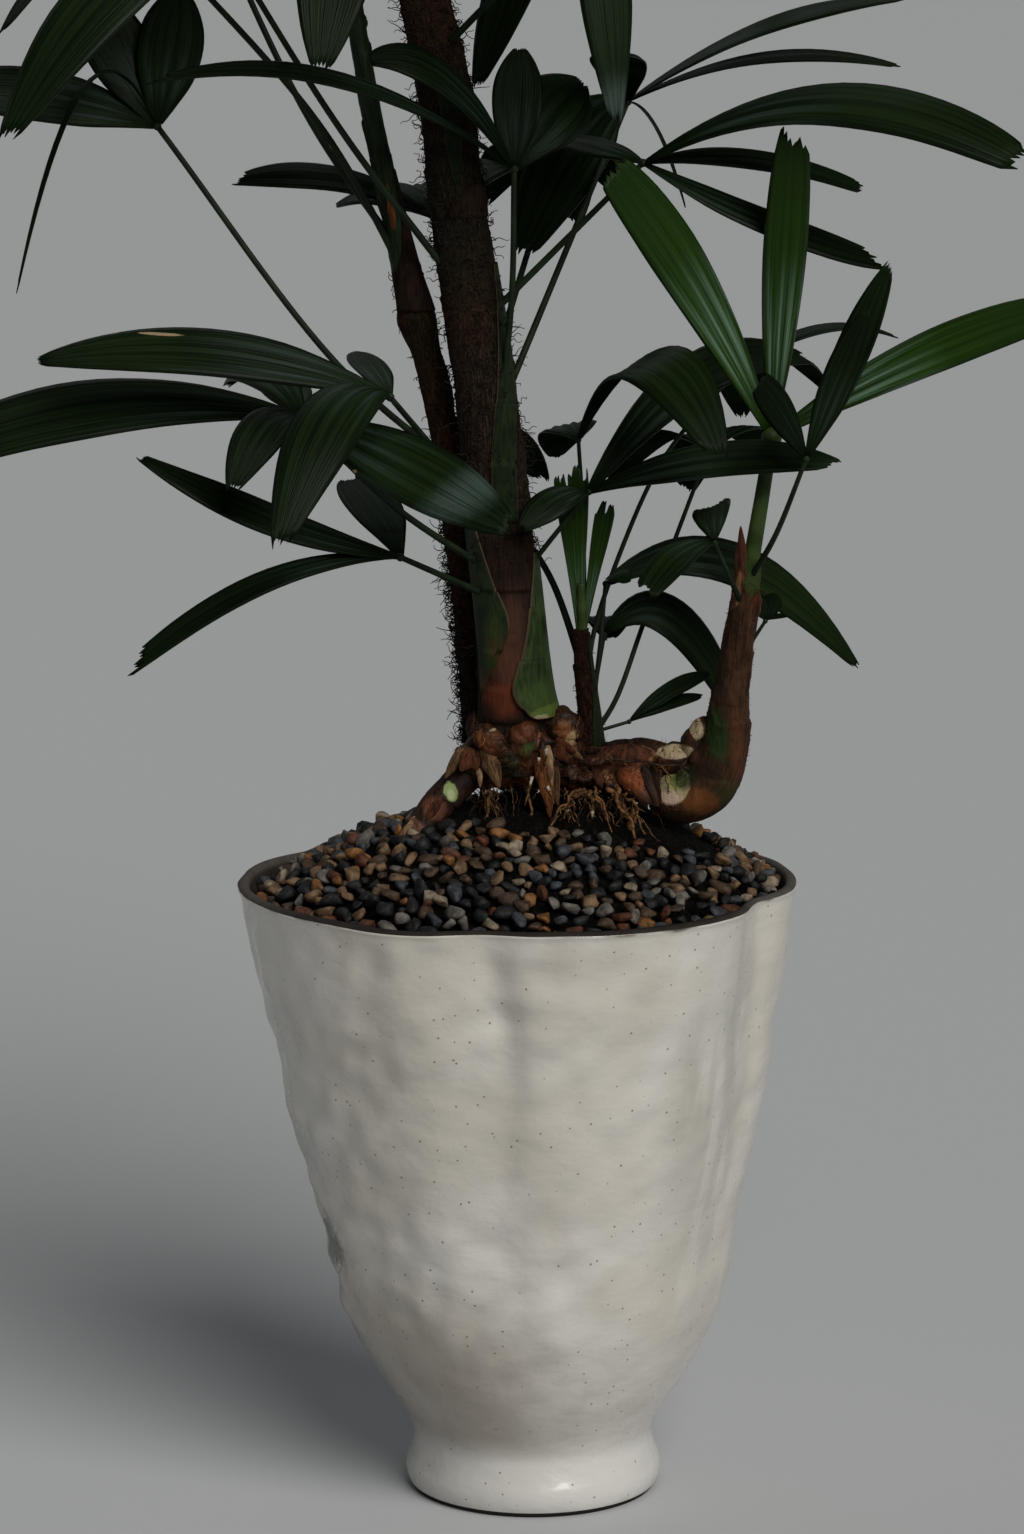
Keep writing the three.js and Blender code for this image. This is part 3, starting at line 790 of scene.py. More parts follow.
# %% Routes of the stems
STEMS = {
    "rhizome": dict(
        path=[[-29, -2, 300], [-14, -3, 306], [4, -3, 306], [20, -2, 302], [38, -4, 299], [52, -8, 296]],
        radii=[[0, 8], [0.15, 13.6], [0.35, 13.2], [0.6, 10.6], [0.85, 10], [1, 8.5]],
    ),
    "left_shoot": dict(
        path=[[-26, -4, 300], [-36, -9, 291], [-50, -17, 274], [-62, -24, 262]],
        radii=[[0, 7], [0.5, 6.2], [0.8, 4.2], [1, 1.6]],
    ),
    "main_trunk": dict(
        path=[[-8, 0, 300], [-8, 0, 329], [-11, 0, 370], [-15, 0, 410], [-19, 0, 451], [-25, 1, 491],
              [-31, 2, 531], [-35, 2, 570], [-43, 2, 609], [-50, 1, 650], [-55, 0, 700]],
        radii=[[0, 16], [0.08, 14.5], [0.25, 13.2], [0.5, 11.6], [0.75, 10.2], [0.9, 8], [1, 4]],
    ),
    "side_trunk": dict(
        path=[[-20, 17, 292], [-23, 18, 329], [-27, 16, 370], [-32, 14, 410], [-39, 13, 451],
              [-49, 12, 491], [-58, 12, 531], [-66, 12, 570], [-72, 12, 609], [-78, 12, 650]],
        radii=[[0, 7.5], [0.2, 6.6], [0.48, 5.8], [0.535, 7.4], [0.59, 5.6], [0.66, 4.6], [1, 3]],
    ),
    "middle_shoot": dict(
        path=[[25, -1, 298], [23, -1, 318], [20, 0, 345], [19, 0, 358]],
        radii=[[0, 5.5], [0.4, 4.6], [1, 3]],
    ),
    "right_shoot": dict(
        path=[[48, -9, 294], [59, -10, 291], [69, -10, 296], [76, -10, 310], [79, -10, 330],
              [82, -10, 352], [85, -10, 374], [87, -11, 388]],
        radii=[[0, 4.5], [0.03, 8.4], [0.12, 11.5], [0.25, 12], [0.4, 9.5], [0.55, 7.2], [0.9, 5.4], [1, 4]],
    ),
}
STEM_PATHS = {name: Path([vec(p) for p in stem["path"]]) for name, stem in STEMS.items()}


def stem_radius(name, share):
    return smooth(STEMS[name]["radii"], share) * MM


def stem_point(name, height):
    """The point on a stem's centre line at a height in millimetres."""
    path = STEM_PATHS[name]
    return path.at(path.share_at_height(height * MM))


def on_stem(name, height, turn, lift):
    """A point lifted over an upright stem's side. turn is in degrees from its front towards its right."""
    share = STEM_PATHS[name].share_at_height(height * MM)
    out = heading(turn - 90)
    return STEM_PATHS[name].at(share) + out * (stem_radius(name, share) + lift * MM)


for name, path in STEM_PATHS.items():
    print(f"{name}: {path.length / MM:.0f} mm long")

# %% [markdown]
# The bark is a mat of brown fibres. Most run along the cane, in two sets, and fine ones cross them in
# waves, as in coarse sacking. Noises stretched along those directions make the threads, and the highest
# thread wins. Patches of rust and of moss green lie under the mat. A bare skin is plainer: fine streaks
# along it, a faint blotch, and blobs of other colours at named places, such as a scar or a green patch.


# %% Bark and skin paints
# The heights between which aged bark turns olive, and turns back, and those between which it turns rusty.
OLIVE_FROM, OLIVE_TO = (476, 500), (540, 572)
RUSTY_FROM = (550, 600)
CRACK = rgb(0.0030, 0.0013, 0.0007)


def bark_paint(name, dark, light, warm, living, aged=0.0):
    """Woven bark. aged is how far it turns olive half way up, where old sheaths wore off, and rusty above."""
    paint = Paint(name, Specular_IOR_Level=0.1)
    height = paint.parts(paint.place)[2]
    rings = paint.ramp(paint.noise(paint.stretch(paint.place, (110, 110, 1500)), 1.0, 2, 0.4), 0.46, 0.66)
    threads = rings * 0.55
    # The noise is turned after it's stretched, so each turn is another set of threads along the cane.
    for turn in (7, -7):
        thread = paint.noise(paint.stretch(paint.uv, (2600, 120, 1), turn), 1.0, 2)
        threads = threads.math("MAXIMUM", threads, paint.ramp(thread, 0.42, 0.64))
    colour = paint.blend(threads, dark, light)
    rust = paint.ramp(paint.noise(paint.stretch(paint.place, (60, 60, 24)), 1.0, 3), 0.45, 0.7)
    colour = paint.blend(rust * 0.6, colour, warm)
    moss = paint.ramp(paint.noise(paint.stretch(paint.place, (52, 52, 20)), 1.0, 3), 0.56, 0.72)
    colour = paint.blend(moss * 0.5, colour, living)
    if aged:
        olive, back, rusty = [
            paint.ramp(height, low * MM, high * MM) for low, high in (OLIVE_FROM, OLIVE_TO, RUSTY_FROM)
        ]
        colour = paint.blend(olive * (1 - back) * aged, colour, living)
        colour = paint.blend(rusty * aged * 0.7, colour, warm)
    matted = paint.noise(paint.place, 900, 4, 1.2)
    colour = paint.blend(paint.ramp(matted, 0.34, 0.58) * 0.85 + 0.15, dark, colour)
    paint.bump(threads * 0.6 + matted * 0.7, 0.0011)
    return paint.coat(colour, 0.85)


# How wide and how long a strip of skin is in its pattern, in metres, whatever its real size.
STRIP_WIDTH = 0.03
STRIP_LENGTH = 0.05


def skin_paint(
    name, dark, light, streaks, gloss, spots=(), hem=None, hem_width=0.0013, hem_from=0, cracks=0.0
):
    """Bare skin, with streaks along it.

    A spot is its colour, strength, middle, size, lean and, where it isn't a usual one, softness. A hem is the
    colour of a strip's edges, which fades out below a height. cracks is how dark the cracks in the skin are.
    """
    paint = Paint(name, Specular_IOR_Level=0.2 if cracks else 0.14)
    along = paint.noise(paint.stretch(paint.uv, (streaks, streaks / 60, 1)), 1.0, 3, 0.3)
    hairs = paint.noise(paint.stretch(paint.place, (620, 620, 110)), 1.0, 4, 0.6)
    blotch = paint.noise(paint.place, 130, 4)
    streak = paint.ramp(along * 0.35 + hairs * 0.35 + blotch * 0.3, 0.40, 0.60)
    colour = paint.blend(streak, dark, light)
    for tint, strength, middle, size, lean, *soft in spots:
        mask = paint.spot(middle, size, 0.45, lean, *soft)
        colour = paint.blend(mask * (streak * 0.3 + 0.7) * strength, colour, tint)
    if hem:
        across = paint.parts(paint.uv)[0]
        inside = across.math("MINIMUM", across, STRIP_WIDTH - across)
        kept = paint.ramp(paint.parts(paint.place)[2], hem_from * MM, (hem_from + 8) * MM)
        colour = paint.blend((1 - paint.ramp(inside, hem_width * 0.4, hem_width)) * kept, colour, hem)
    relief = along * 0.4 + hairs * 0.5 + blotch * 0.3
    if cracks:
        from_line = (paint.noise(paint.place, 260, 3, 1.0) - 0.5).math("ABSOLUTE")
        line = 1 - paint.ramp(from_line, 0.012, 0.075)
        colour = paint.blend(line * cracks, colour, CRACK)
        relief = relief - line * 0.5
    paint.bump(relief, 0.0010)
    return paint.coat(colour, gloss)


def plain_paint(name, dark, light, scale, roughness, mirror=0.2):
    """A mottled paint. mirror is how much of the room it mirrors."""
    paint = Paint(name, Specular_IOR_Level=mirror)
    mottled = paint.noise(paint.place, scale, 3)
    paint.bump(mottled, 0.0002)
    return paint.coat(paint.blend(paint.ramp(mottled, 0.38, 0.66), dark, light), roughness)


LIME = rgb(0.085, 0.125, 0.022)
CREAM = rgb(0.380, 0.300, 0.180)
PINK = rgb(0.150, 0.055, 0.030)

BARK = bark_paint(
    "woven_bark", rgb(0.0030, 0.0020, 0.0012), rgb(0.046, 0.0310, 0.0195), rgb(0.056, 0.0240, 0.0120),
    rgb(0.019, 0.020, 0.011), aged=0.5,
)
SHOOT = bark_paint(
    "shoot_bark", rgb(0.0026, 0.0013, 0.0007), rgb(0.044, 0.0190, 0.0090), rgb(0.068, 0.0230, 0.0090),
    rgb(0.016, 0.018, 0.005),
)
RIGHT_SKIN = skin_paint(
    "right_shoot_skin", rgb(0.0150, 0.0068, 0.0030), rgb(0.052, 0.0225, 0.0100), 1500, 0.8,
    [
        (rgb(0.078, 0.026, 0.010), 0.7, (81.0, -14, 316), (4, 14, 22), 6, 0.6),
        (rgb(0.026, 0.050, 0.010), 0.97, (89.5, -11, 388), (7.6, 20, 19), 5, 0.2),
        (rgb(0.020, 0.0125, 0.0065), 0.85, (75.0, -18, 340), (4, 12, 34), 6, 0.6),
        (rgb(0.0125, 0.0070, 0.0028), 0.8, (70.5, -16, 312), (5, 12, 16), 14, 0.5),
        (rgb(0.009, 0.027, 0.0045), 0.97, (73.5, -18, 318), (4.8, 9, 12), 8, 0.4),
        (rgb(0.030, 0.034, 0.008), 0.85, (77, -12, 294), (7, 16, 8), 40, 0.6),
        (rgb(0.140, 0.048, 0.012), 0.8, (67, -20, 291), (9, 9, 6), -20, 0.4),
        (rgb(0.010, 0.0050, 0.0020), 0.85, (67, -20, 303), (8, 9, 3.5), -10, 0.4),
        (rgb(0.044, 0.016, 0.007), 0.9, (48.8, -18, 298), (2.8, 9, 9.5), -14, 0.2),
        (CREAM, 0.98, (56.2, -19, 297.4), (6.9, 9, 7.6), -4, 0.1),
        (rgb(0.50, 0.36, 0.27), 0.95, (55.0, -19, 292.4), (4.6, 8, 3.2), 0, 0.3),
        (rgb(0.150, 0.190, 0.035), 0.9, (57.2, -19, 299.6), (5.4, 8, 5.2), 0, 0.5),
        (rgb(0.007, 0.0155, 0.005), 0.99, (60.2, -19, 300.8), (5.6, 9, 5.6), 0, 0.5),
    ],
)
LEFT_SKIN = skin_paint(
    "left_shoot_skin", rgb(0.0070, 0.0032, 0.0022), rgb(0.036, 0.0150, 0.0095), 900, 0.6,
    [
        (rgb(0.0075, 0.0035, 0.0040), 0.95, (-57, -24, 267), (14, 20, 11), 0, 0.3),
        (rgb(0.0085, 0.0035, 0.0018), 0.9, (-29, -12, 299), (7, 12, 4.5), -35, 0.3),
        (PINK, 0.85, (-40, -18, 287.5), (6, 9, 4.6), -35, 0.4),
        (rgb(0.190, 0.088, 0.056), 0.8, (-47, -22, 280.5), (7.5, 12, 2.2), -42, 0.5),
        (rgb(0.240, 0.310, 0.120), 0.97, (-33.6, -14, 293.8), (2.8, 6, 4.4), 20, 0.15),
        (rgb(0.380, 0.400, 0.230), 0.9, (-33.2, -15, 292.6), (1.6, 5, 2.4), 20, 0.4),
    ],
)
GREEN_SKIN = skin_paint("crownshaft", rgb(0.005, 0.010, 0.003), rgb(0.014, 0.027, 0.008), 900, 0.55)
print("barks and skins ready")

# %% [markdown]
# Old sheaths overlap on a cane like roof tiles round a pole. Its tube swells up to each sheath's edge and
# drops back there, and the edges slant. Noises of two sizes make the bark rough. A grid of corners carries
# this better than a displacement by an image would, because the relief follows the cane wherever it bends.

# %% Canes
# The green top of the side trunk starts at a height that is read at one place along X, and slants from
# there.
CROWNSHAFT = 503
CROWNSHAFT_X = -55
CROWNSHAFT_SLANT = 0.8
# Each cane's columns and rows of corners, its number of old sheaths, how rough and how lumpy its bark is,
# and its paints. Below a height where young sheaths wrap it, its relief is a share of what it is above.
CALM = 0.3
CANES = {
    "main_trunk": dict(grid=(88, 330), sheaths=10, fuzz=0.2, lumps=0.5, paints=[BARK], calm_below=396),
    "side_trunk": dict(grid=(44, 240), sheaths=7, fuzz=0.18, lumps=0.35, paints=[SHOOT, GREEN_SKIN]),
    "middle_shoot": dict(grid=(40, 90), sheaths=3, fuzz=0.16, lumps=0.3, paints=[SHOOT]),
    "right_shoot": dict(grid=(72, 190), sheaths=4, fuzz=0.24, lumps=0.5, paints=[RIGHT_SKIN]),
    "left_shoot": dict(grid=(48, 90), sheaths=3, fuzz=0.16, lumps=0.6, paints=[LEFT_SKIN]),
}


def add_cane(bm, stem, cane):
    """Adds a stem's tube, with its old sheaths and the relief of its bark."""
    path = STEM_PATHS[stem]

    def radius(share, angle):
        base = stem_radius(stem, share)
        point = path.at(share) + Vector((math.cos(angle), math.sin(angle), 0)) * base
        turn = 2.0 + 1.7 * math.floor(share * cane["sheaths"])
        step = share * cane["sheaths"] + 0.3 * math.cos(angle - turn) + 0.3 * bumpy(point, 0.012, 3)
        relief = 0.9 * (step % 1.0) ** 6 + cane["lumps"] * bumpy(point, 0.014)
        relief += cane["fuzz"] * (bumpy(point, 0.0034, 2) + 0.7 * bumpy(point, 0.0017, 2))
        calm = CALM if point.z < cane.get("calm_below", 0) * MM else 1
        return base + relief * calm * MM

    add_tube(bm, path, radius, *cane["grid"])


for stem, cane in CANES.items():
    tube = bmesh.new()
    add_cane(tube, stem, cane)
    if GREEN_SKIN in cane["paints"]:
        for face in tube.faces:
            middle = face.calc_center_median()
            green = middle.z / MM - CROWNSHAFT_SLANT * (middle.x / MM - CROWNSHAFT_X) > CROWNSHAFT
            face.material_index = 1 if green else 0
    kind = "bark" if stem.endswith("trunk") else "skin"
    finish_piece(f"{stem}_{kind}", tube, cane["paints"], [stem])

# %% [markdown]
# The youngest sheaths still wrap the canes: smooth green ones with fine lines along them, and thin brown
# ones that have dried. A sheath is a strip pressed round a cane between a left and a right edge, each a
# line of [height, turn] pairs. A turn is in degrees from the cane's front towards its right. The strips get
# their thickness from a Solidify modifier, so that they are closed all round.


# %% Sheaths round the canes
WRAP_COLUMNS = 26
# The height of a row of corners, and how much higher a strip's middle lies than its edges.
WRAP_ROW = 1.6
WRAP_BULGE = 0.35
# The height over which a strip's flared foot closes to a third.
FLARE_HEIGHT = 9


def add_wrap(bm, stem, left, right, lift, slot, flare=0.0):
    """A strip round a stem. It lies lift over the bark, and its foot stands out by flare more."""
    path = STEM_PATHS[stem]
    low, high = left[0][0], left[-1][0]
    rows = max(8, round((high - low) / WRAP_ROW))
    shares = [path.share_at_height((low + (high - low) * k / rows) * MM) for k in range(rows + 1)]

    def place(u, v):
        height = low + (high - low) * v
        turn = smooth(left, height) * (1 - u) + smooth(right, height) * u
        share = shares[round(v * rows)]
        edge = min(u, 1 - u) * 2
        foot = flare * math.exp(-(height - low) / FLARE_HEIGHT)
        raised = lift + foot + WRAP_BULGE * min(1, edge * 6)
        return path.at(share) + heading(turn - 90) * (stem_radius(stem, share) + raised * MM)

    add_grid(bm, WRAP_COLUMNS, rows, place, slot, (STRIP_WIDTH, (high - low) * MM))


PALE_HEM = rgb(0.080, 0.052, 0.031)
SHEATH_GREEN = skin_paint(
    "sheath_green", rgb(0.0085, 0.0165, 0.0040), rgb(0.030, 0.054, 0.013), 3000, 0.5,
    [
        (rgb(0.045, 0.078, 0.016), 0.7, (4, -14, 332), (13, 16, 8), 12, 0.6),
        (LIME, 0.97, (4.5, -12, 325.6), (12, 16, 3.0), 12, 0.3),
        (CREAM, 0.85, (1.5, -14, 323.6), (5, 9, 1.8), 10, 0.3),
    ],
    PALE_HEM,
)
SHEATH_PINK = skin_paint(
    "sheath_pink", rgb(0.0050, 0.0024, 0.0013), rgb(0.021, 0.0095, 0.0052), 2600, 0.85,
    [
        (rgb(0.060, 0.027, 0.016), 0.8, (-8, -14, 364), (5, 14, 12), 10, 0.8),
        (rgb(0.085, 0.034, 0.019), 0.95, (-11, -14, 346), (9, 14, 14), 22, 0.7),
        (rgb(0.110, 0.026, 0.010), 0.97, (-14, -14, 331), (12, 14, 8), 10, 0.5),
        (rgb(0.010, 0.0055, 0.0035), 0.8, (-21, -14, 325), (7, 14, 6), 0, 0.5),
    ],
)
SHEATH_DARK = skin_paint(
    "sheath_dark_green", rgb(0.0045, 0.0085, 0.0022), rgb(0.0130, 0.0240, 0.0055), 2600, 0.55,
    [
        (rgb(0.026, 0.044, 0.007), 0.85, (-16.5, -14, 354), (4.5, 14, 13), 0, 0.6),
        (rgb(0.060, 0.026, 0.014), 0.95, (-10.5, -14, 346), (5, 14, 13), 30, 0.9),
        (rgb(0.080, 0.032, 0.017), 0.95, (-17.5, -14, 335), (10, 14, 8), 0, 0.9),
    ],
    PALE_HEM, hem_from=356,
)
SHEATHS = [SHEATH_GREEN, SHEATH_PINK, SHEATH_DARK]

# Each strip's stem, its left and right edges, its lift, the number of its paint, and its foot's flare.
GREEN, PINKISH, DARK = range(3)
WRAPS = [
    ["main_trunk", [[322, -64], [346, -60], [372, -78], [398, -60]],
     [[322, 60], [346, 72], [372, 84], [398, 70]], 0.3, PINKISH],
    ["main_trunk",
     [[334, -60], [340, -62], [356, -64], [373, -72], [392, -80], [400, -84]],
     [[334, -50], [340, -40], [345, -24], [354, -9], [363, 2], [377, -15], [390, -30], [400, -42]],
     0.8, DARK],
    ["main_trunk",
     [[324, 26], [327, 14], [330, 4], [336, -2], [344, 8], [359, 29], [373, 43], [390, 64]],
     [[324, 90], [330, 118], [343, 126], [368, 124], [390, 112]], 1.1, GREEN, 3.0],
    ["main_trunk", [[404, -10], [433, 1], [460, 25], [480, 44], [506, 66]],
     [[404, 36], [433, 48], [460, 74], [480, 92], [506, 104]], 0.9, DARK],
    ["main_trunk", [[533, 4], [552, -8], [580, -16]], [[533, 14], [552, 22], [580, 24]], 0.8, DARK],
    ["main_trunk", [[524, -24], [530, -10], [537, 18]], [[524, 84], [530, 96], [537, 88]], 0.7, PINKISH],
    ["middle_shoot", [[304, -8], [318, 8], [334, 34], [357, 44]],
     [[304, 74], [318, 80], [345, 84], [357, 88]], 0.4, DARK],
    ["side_trunk", [[486, -60], [500, -30], [520, 30], [542, 66]],
     [[486, 130], [500, 120], [520, 104], [542, 74]], 0.6, PINKISH],
]


def thicken(piece, thickness, offset):
    """Gives a piece made of sheets a thickness, inwards where offset is -1 and both ways where it is 0."""
    blade = piece.modifiers.new("thickness", "SOLIDIFY")
    blade.thickness = thickness * MM
    blade.offset = offset
    return blade


wraps = bmesh.new()
for row in WRAPS:
    add_wrap(wraps, *row)
thicken(finish_piece("sheaths", wraps, SHEATHS, []), 0.5, -1)

# %% [markdown]
# Where the canes and the roots meet, the rhizome swells into knots. Buds push through its scales, and round
# pale scars show where shoots were cut off. The tube is the core, and each knot or bud is a dented ball
# sunk into it, because balls give the knots their folds where they meet, as real ones have.

# %% Rhizome
# Each knot's middle and half sizes, and its lean in degrees about Y.
KNOTS = [
    [(-4.5, -12.5, 313.5), (7.6, 5.6, 10.6), 8],
    [(-16.5, -12.0, 313.5), (9.4, 6.0, 6.0), 40],
    [(-9.4, -14.0, 306.6), (4.8, 4.4, 4.8), 0],
    [(-24.5, -8.0, 305.5), (6.4, 6.4, 5.6), 30],
    [(11.5, -4.0, 319.0), (9.0, 8.0, 7.6), 38],
    [(-19.0, 4.0, 317.0), (8.0, 9.0, 8.0), 0],
    [(13.0, -11.5, 309.0), (6.0, 5.0, 5.6), 0],
    [(24.0, -11.0, 305.5), (6.0, 5.0, 3.6), 3],
    [(15.4, -13.0, 301.6), (2.9, 3.0, 3.6), 10],
    [(21.2, -13.0, 300.0), (3.8, 3.0, 2.5), -8],
    [(29.4, -12.5, 299.6), (2.6, 3.0, 3.0), 0],
    [(29.8, -12.0, 307.0), (2.6, 3.0, 2.2), 0],
    [(40.0, -4.0, 306.0), (20.0, 9.0, 7.6), -2],
    [(57.0, -6.0, 305.0), (10.0, 8.5, 7.6), 0],
    [(42.0, -9.5, 298.0), (10.0, 8.0, 9.0), 28],
    [(66.0, -7.5, 313.0), (6.0, 6.5, 11.5), 26],
    [(12.0, 6.0, 305.0), (22.0, 11.0, 9.0), 0],
]
# The colours of the knots' faces, scars and buds, as spots.
RHIZOME_SPOTS = [
    (rgb(0.115, 0.030, 0.008), 0.95, (-4.5, -19, 319), (6.5, 9, 5.5), 8, 0.9),
    (rgb(0.012, 0.0045, 0.0020), 0.9, (-4.2, -19, 313.6), (7.0, 9, 0.9), 14, 0.6),
    (rgb(0.055, 0.019, 0.006), 0.9, (-5.0, -19, 309), (6.5, 9, 5.5), 8, 0.4),
    (rgb(0.190, 0.090, 0.050), 0.85, (2.4, -16, 317.5), (0.7, 9, 5.5), -12, 0.4),
    (rgb(0.120, 0.038, 0.011), 0.95, (-17.6, -17, 314.2), (6.5, 9, 4), 40, 0.9),
    (rgb(0.022, 0.008, 0.004), 0.9, (-12.4, -19, 311.5), (1.2, 9, 6.5), 28, 0.5),
    (rgb(0.006, 0.0130, 0.003), 0.97, (-9.6, -18, 306.4), (5.4, 8, 4.8), 0, 0.4),
    (rgb(0.034, 0.074, 0.008), 0.92, (-2.4, -18, 312.0), (3.6, 6, 2.2), 30, 0.8),
    (CREAM, 0.9, (-16.4, -17, 319.3), (1.5, 6, 0.6), 10, 0.3),
    (rgb(0.150, 0.052, 0.028), 0.8, (-24.9, -12, 307.4), (3.6, 9, 3.6), 20, 0.4),
    (CREAM, 0.85, (3.7, -12, 323.8), (2.6, 9, 3.4), 0, 0.3),
    (rgb(0.024, 0.009, 0.004), 0.9, (10, -10, 324), (8, 9, 6), 40, 0.4),
    (rgb(0.170, 0.060, 0.020), 0.95, (12.0, -12, 318.8), (4.6, 8, 3.6), 42, 0.5),
    (rgb(0.360, 0.240, 0.120), 0.97, (15.6, -12, 315.2), (2.5, 8, 3.2), -30, 0.4),
    (rgb(0.170, 0.064, 0.034), 0.9, (13.2, -15, 311), (4.6, 6, 3.2), 20, 0.4),
    (rgb(0.060, 0.014, 0.007), 0.9, (22, -15, 306.6), (7, 6, 3.6), 0, 0.4),
    (rgb(0.105, 0.066, 0.052), 0.95, (15.4, -16, 301.6), (3.2, 5, 3.6), 0, 0.3),
    (rgb(0.080, 0.040, 0.024), 0.95, (21.2, -16, 300), (4.0, 5, 2.7), 0, 0.3),
    (rgb(0.260, 0.130, 0.066), 0.95, (29.8, -15, 307.2), (2.6, 5, 2.2), 0, 0.3),
    (rgb(0.280, 0.135, 0.052), 0.95, (29.4, -15, 299.6), (2.8, 5, 3.2), 0, 0.3),
    (rgb(0.230, 0.062, 0.020), 0.95, (39.5, -15, 299), (6.5, 9, 7), 30, 0.4),
    (rgb(0.220, 0.095, 0.052), 0.8, (45.0, -15, 292.5), (5.5, 9, 5), 40, 0.5),
    (rgb(0.040, 0.020, 0.010), 0.9, (48.4, -17, 297), (2.4, 8, 8.5), -16, 0.2),
    (CREAM, 0.98, (57.3, -12, 309.8), (7.8, 9, 2.9), 4, 0.15),
    (CREAM, 0.98, (64.6, -12, 321.0), (3.2, 9, 6.6), 24, 0.15),
]
RHIZOME_SKIN = skin_paint(
    "rhizome_skin", rgb(0.0034, 0.0014, 0.0007), rgb(0.060, 0.0185, 0.0054), 700, 0.5, RHIZOME_SPOTS,
    cracks=0.85,
)


def add_knot(bm, middle, size, lean):
    """Adds a ball that is stretched to its half sizes, with creases all over."""
    turned = Matrix.Rotation(math.radians(lean), 4, "Y") @ Matrix.Diagonal((*vec(size), 1))
    for corner in add_ball(bm, 5, 1, Matrix.Translation(vec(middle)) @ turned):
        out = (corner.co - vec(middle)).normalized()
        crease = abs(bumpy(corner.co, 0.006, 4)) ** 0.6
        corner.co += out * (1.6 * crease - 0.6 + 0.3 * bumpy(corner.co, 0.002, 7)) * MM


def rhizome_radius(share, angle):
    """The radius of the rhizome's core, with the ridges where its scales were."""
    base = stem_radius("rhizome", share)
    point = STEM_PATHS["rhizome"].at(share) + Vector((0, math.cos(angle), math.sin(angle))) * base
    ridge = abs(math.sin(share * 24 + 1.4 * math.sin(angle + share * 9) + 2 * bumpy(point, 0.02)))
    relief = 1.8 * bumpy(point, 0.010, 6) + 0.9 * bumpy(point, 0.004, 2) + 1.1 * ridge**3 - 0.6
    return base + relief * MM


knots = bmesh.new()
add_tube(knots, STEM_PATHS["rhizome"], rhizome_radius, 110, 170)
for row in KNOTS:
    add_knot(knots, *row)
finish_piece("rhizome_knots", knots, [RHIZOME_SKIN], ["rhizome"])

# %% [markdown]
# Torn sheets of old skin lie over the knots. A sheet is part of a ball just outside its knot, between two
# headings and two elevations, with ragged edges that stand off a little.

# %% Torn skins
# The numbers of the dry skins' paints.
DEEP_BROWN, TAN_DRY, GREY_DRY, RED_DRY, ORANGE, PALE = range(6)
# How many columns a sheet's grid has, and as many rows.
SKIN_GRID = 16
# Each sheet's knot, its headings, its elevations, how far it stands off, and its paint.
SKINS = [
    [0, -112, -62, -74, -42, 0.3, ORANGE],
    [1, -150, -110, -50, 10, 0.3, ORANGE],
    [3, -205, -118, -26, 76, 0.5, TAN_DRY],
    [3, -112, -40, -20, 66, 0.4, RED_DRY],
    [4, -60, 40, -10, 80, 0.3, DEEP_BROWN],
    [5, -230, -130, -30, 60, 0.5, DEEP_BROWN],
    [6, -140, -60, -20, 60, 0.3, RED_DRY],
    [7, -150, -50, -10, 70, 0.3, DEEP_BROWN],
    [12, -150, -60, -20, 55, 0.4, RED_DRY],
    [16, 30, 100, -40, 50, 0.6, RED_DRY],
    [16, 90, 150, -50, 40, 0.6, DEEP_BROWN],
    [5, 60, 150, -40, 60, 0.5, RED_DRY],
]


def add_skin(bm, knot, start, end, low, high, lift, slot):
    """Adds a torn sheet over part of a knot."""
    middle, size, lean = KNOTS[knot]
    turned = Matrix.Rotation(math.radians(lean), 3, "Y")

    def place(u, v):
        seed = Vector((5 * u, 5 * v, 3.1 * lift + start))
        torn = 1 + 0.2 * noise.noise(seed) + 0.08 * noise.noise(seed * 3)
        across, along = (2 * u - 1) * torn, (2 * v - 1) * torn
        turn = (start + end) / 2 + across * (end - start) / 2 * (1 - 0.3 * along**2)
        tilt = math.radians((low + high) / 2 + along * (high - low) / 2 * (1 - 0.3 * across**2))
        out = heading(turn) * math.cos(tilt) + Vector((0, 0, math.sin(tilt)))
        edge = max(abs(across), abs(along)) ** 8
        stand = lift + 0.3 * min(edge, 1.5) + 0.3 * bumpy(out, 0.5, start)
        return vec(middle) + turned @ Vector([part * (side + stand) for part, side in zip(out, size)]) * MM

    add_grid(bm, SKIN_GRID, SKIN_GRID, place, slot, (STRIP_WIDTH, STRIP_LENGTH))


print("torn skins:", len(SKINS))

# %% [markdown]
# Dry scales cling to the knots and to the shoots beside them, and one to the side trunk. A scale is a thin
# shield, widest near its base, which is bowed over what lies under it and ends in a point.

# %% Scales
# The share of a scale's width along it, and its columns and rows of corners.
SCALE_OUTLINE = [[0, 0.62], [0.3, 1], [0.65, 0.82], [0.9, 0.34], [1, 0.05]]
SCALE_GRID = (12, 18)
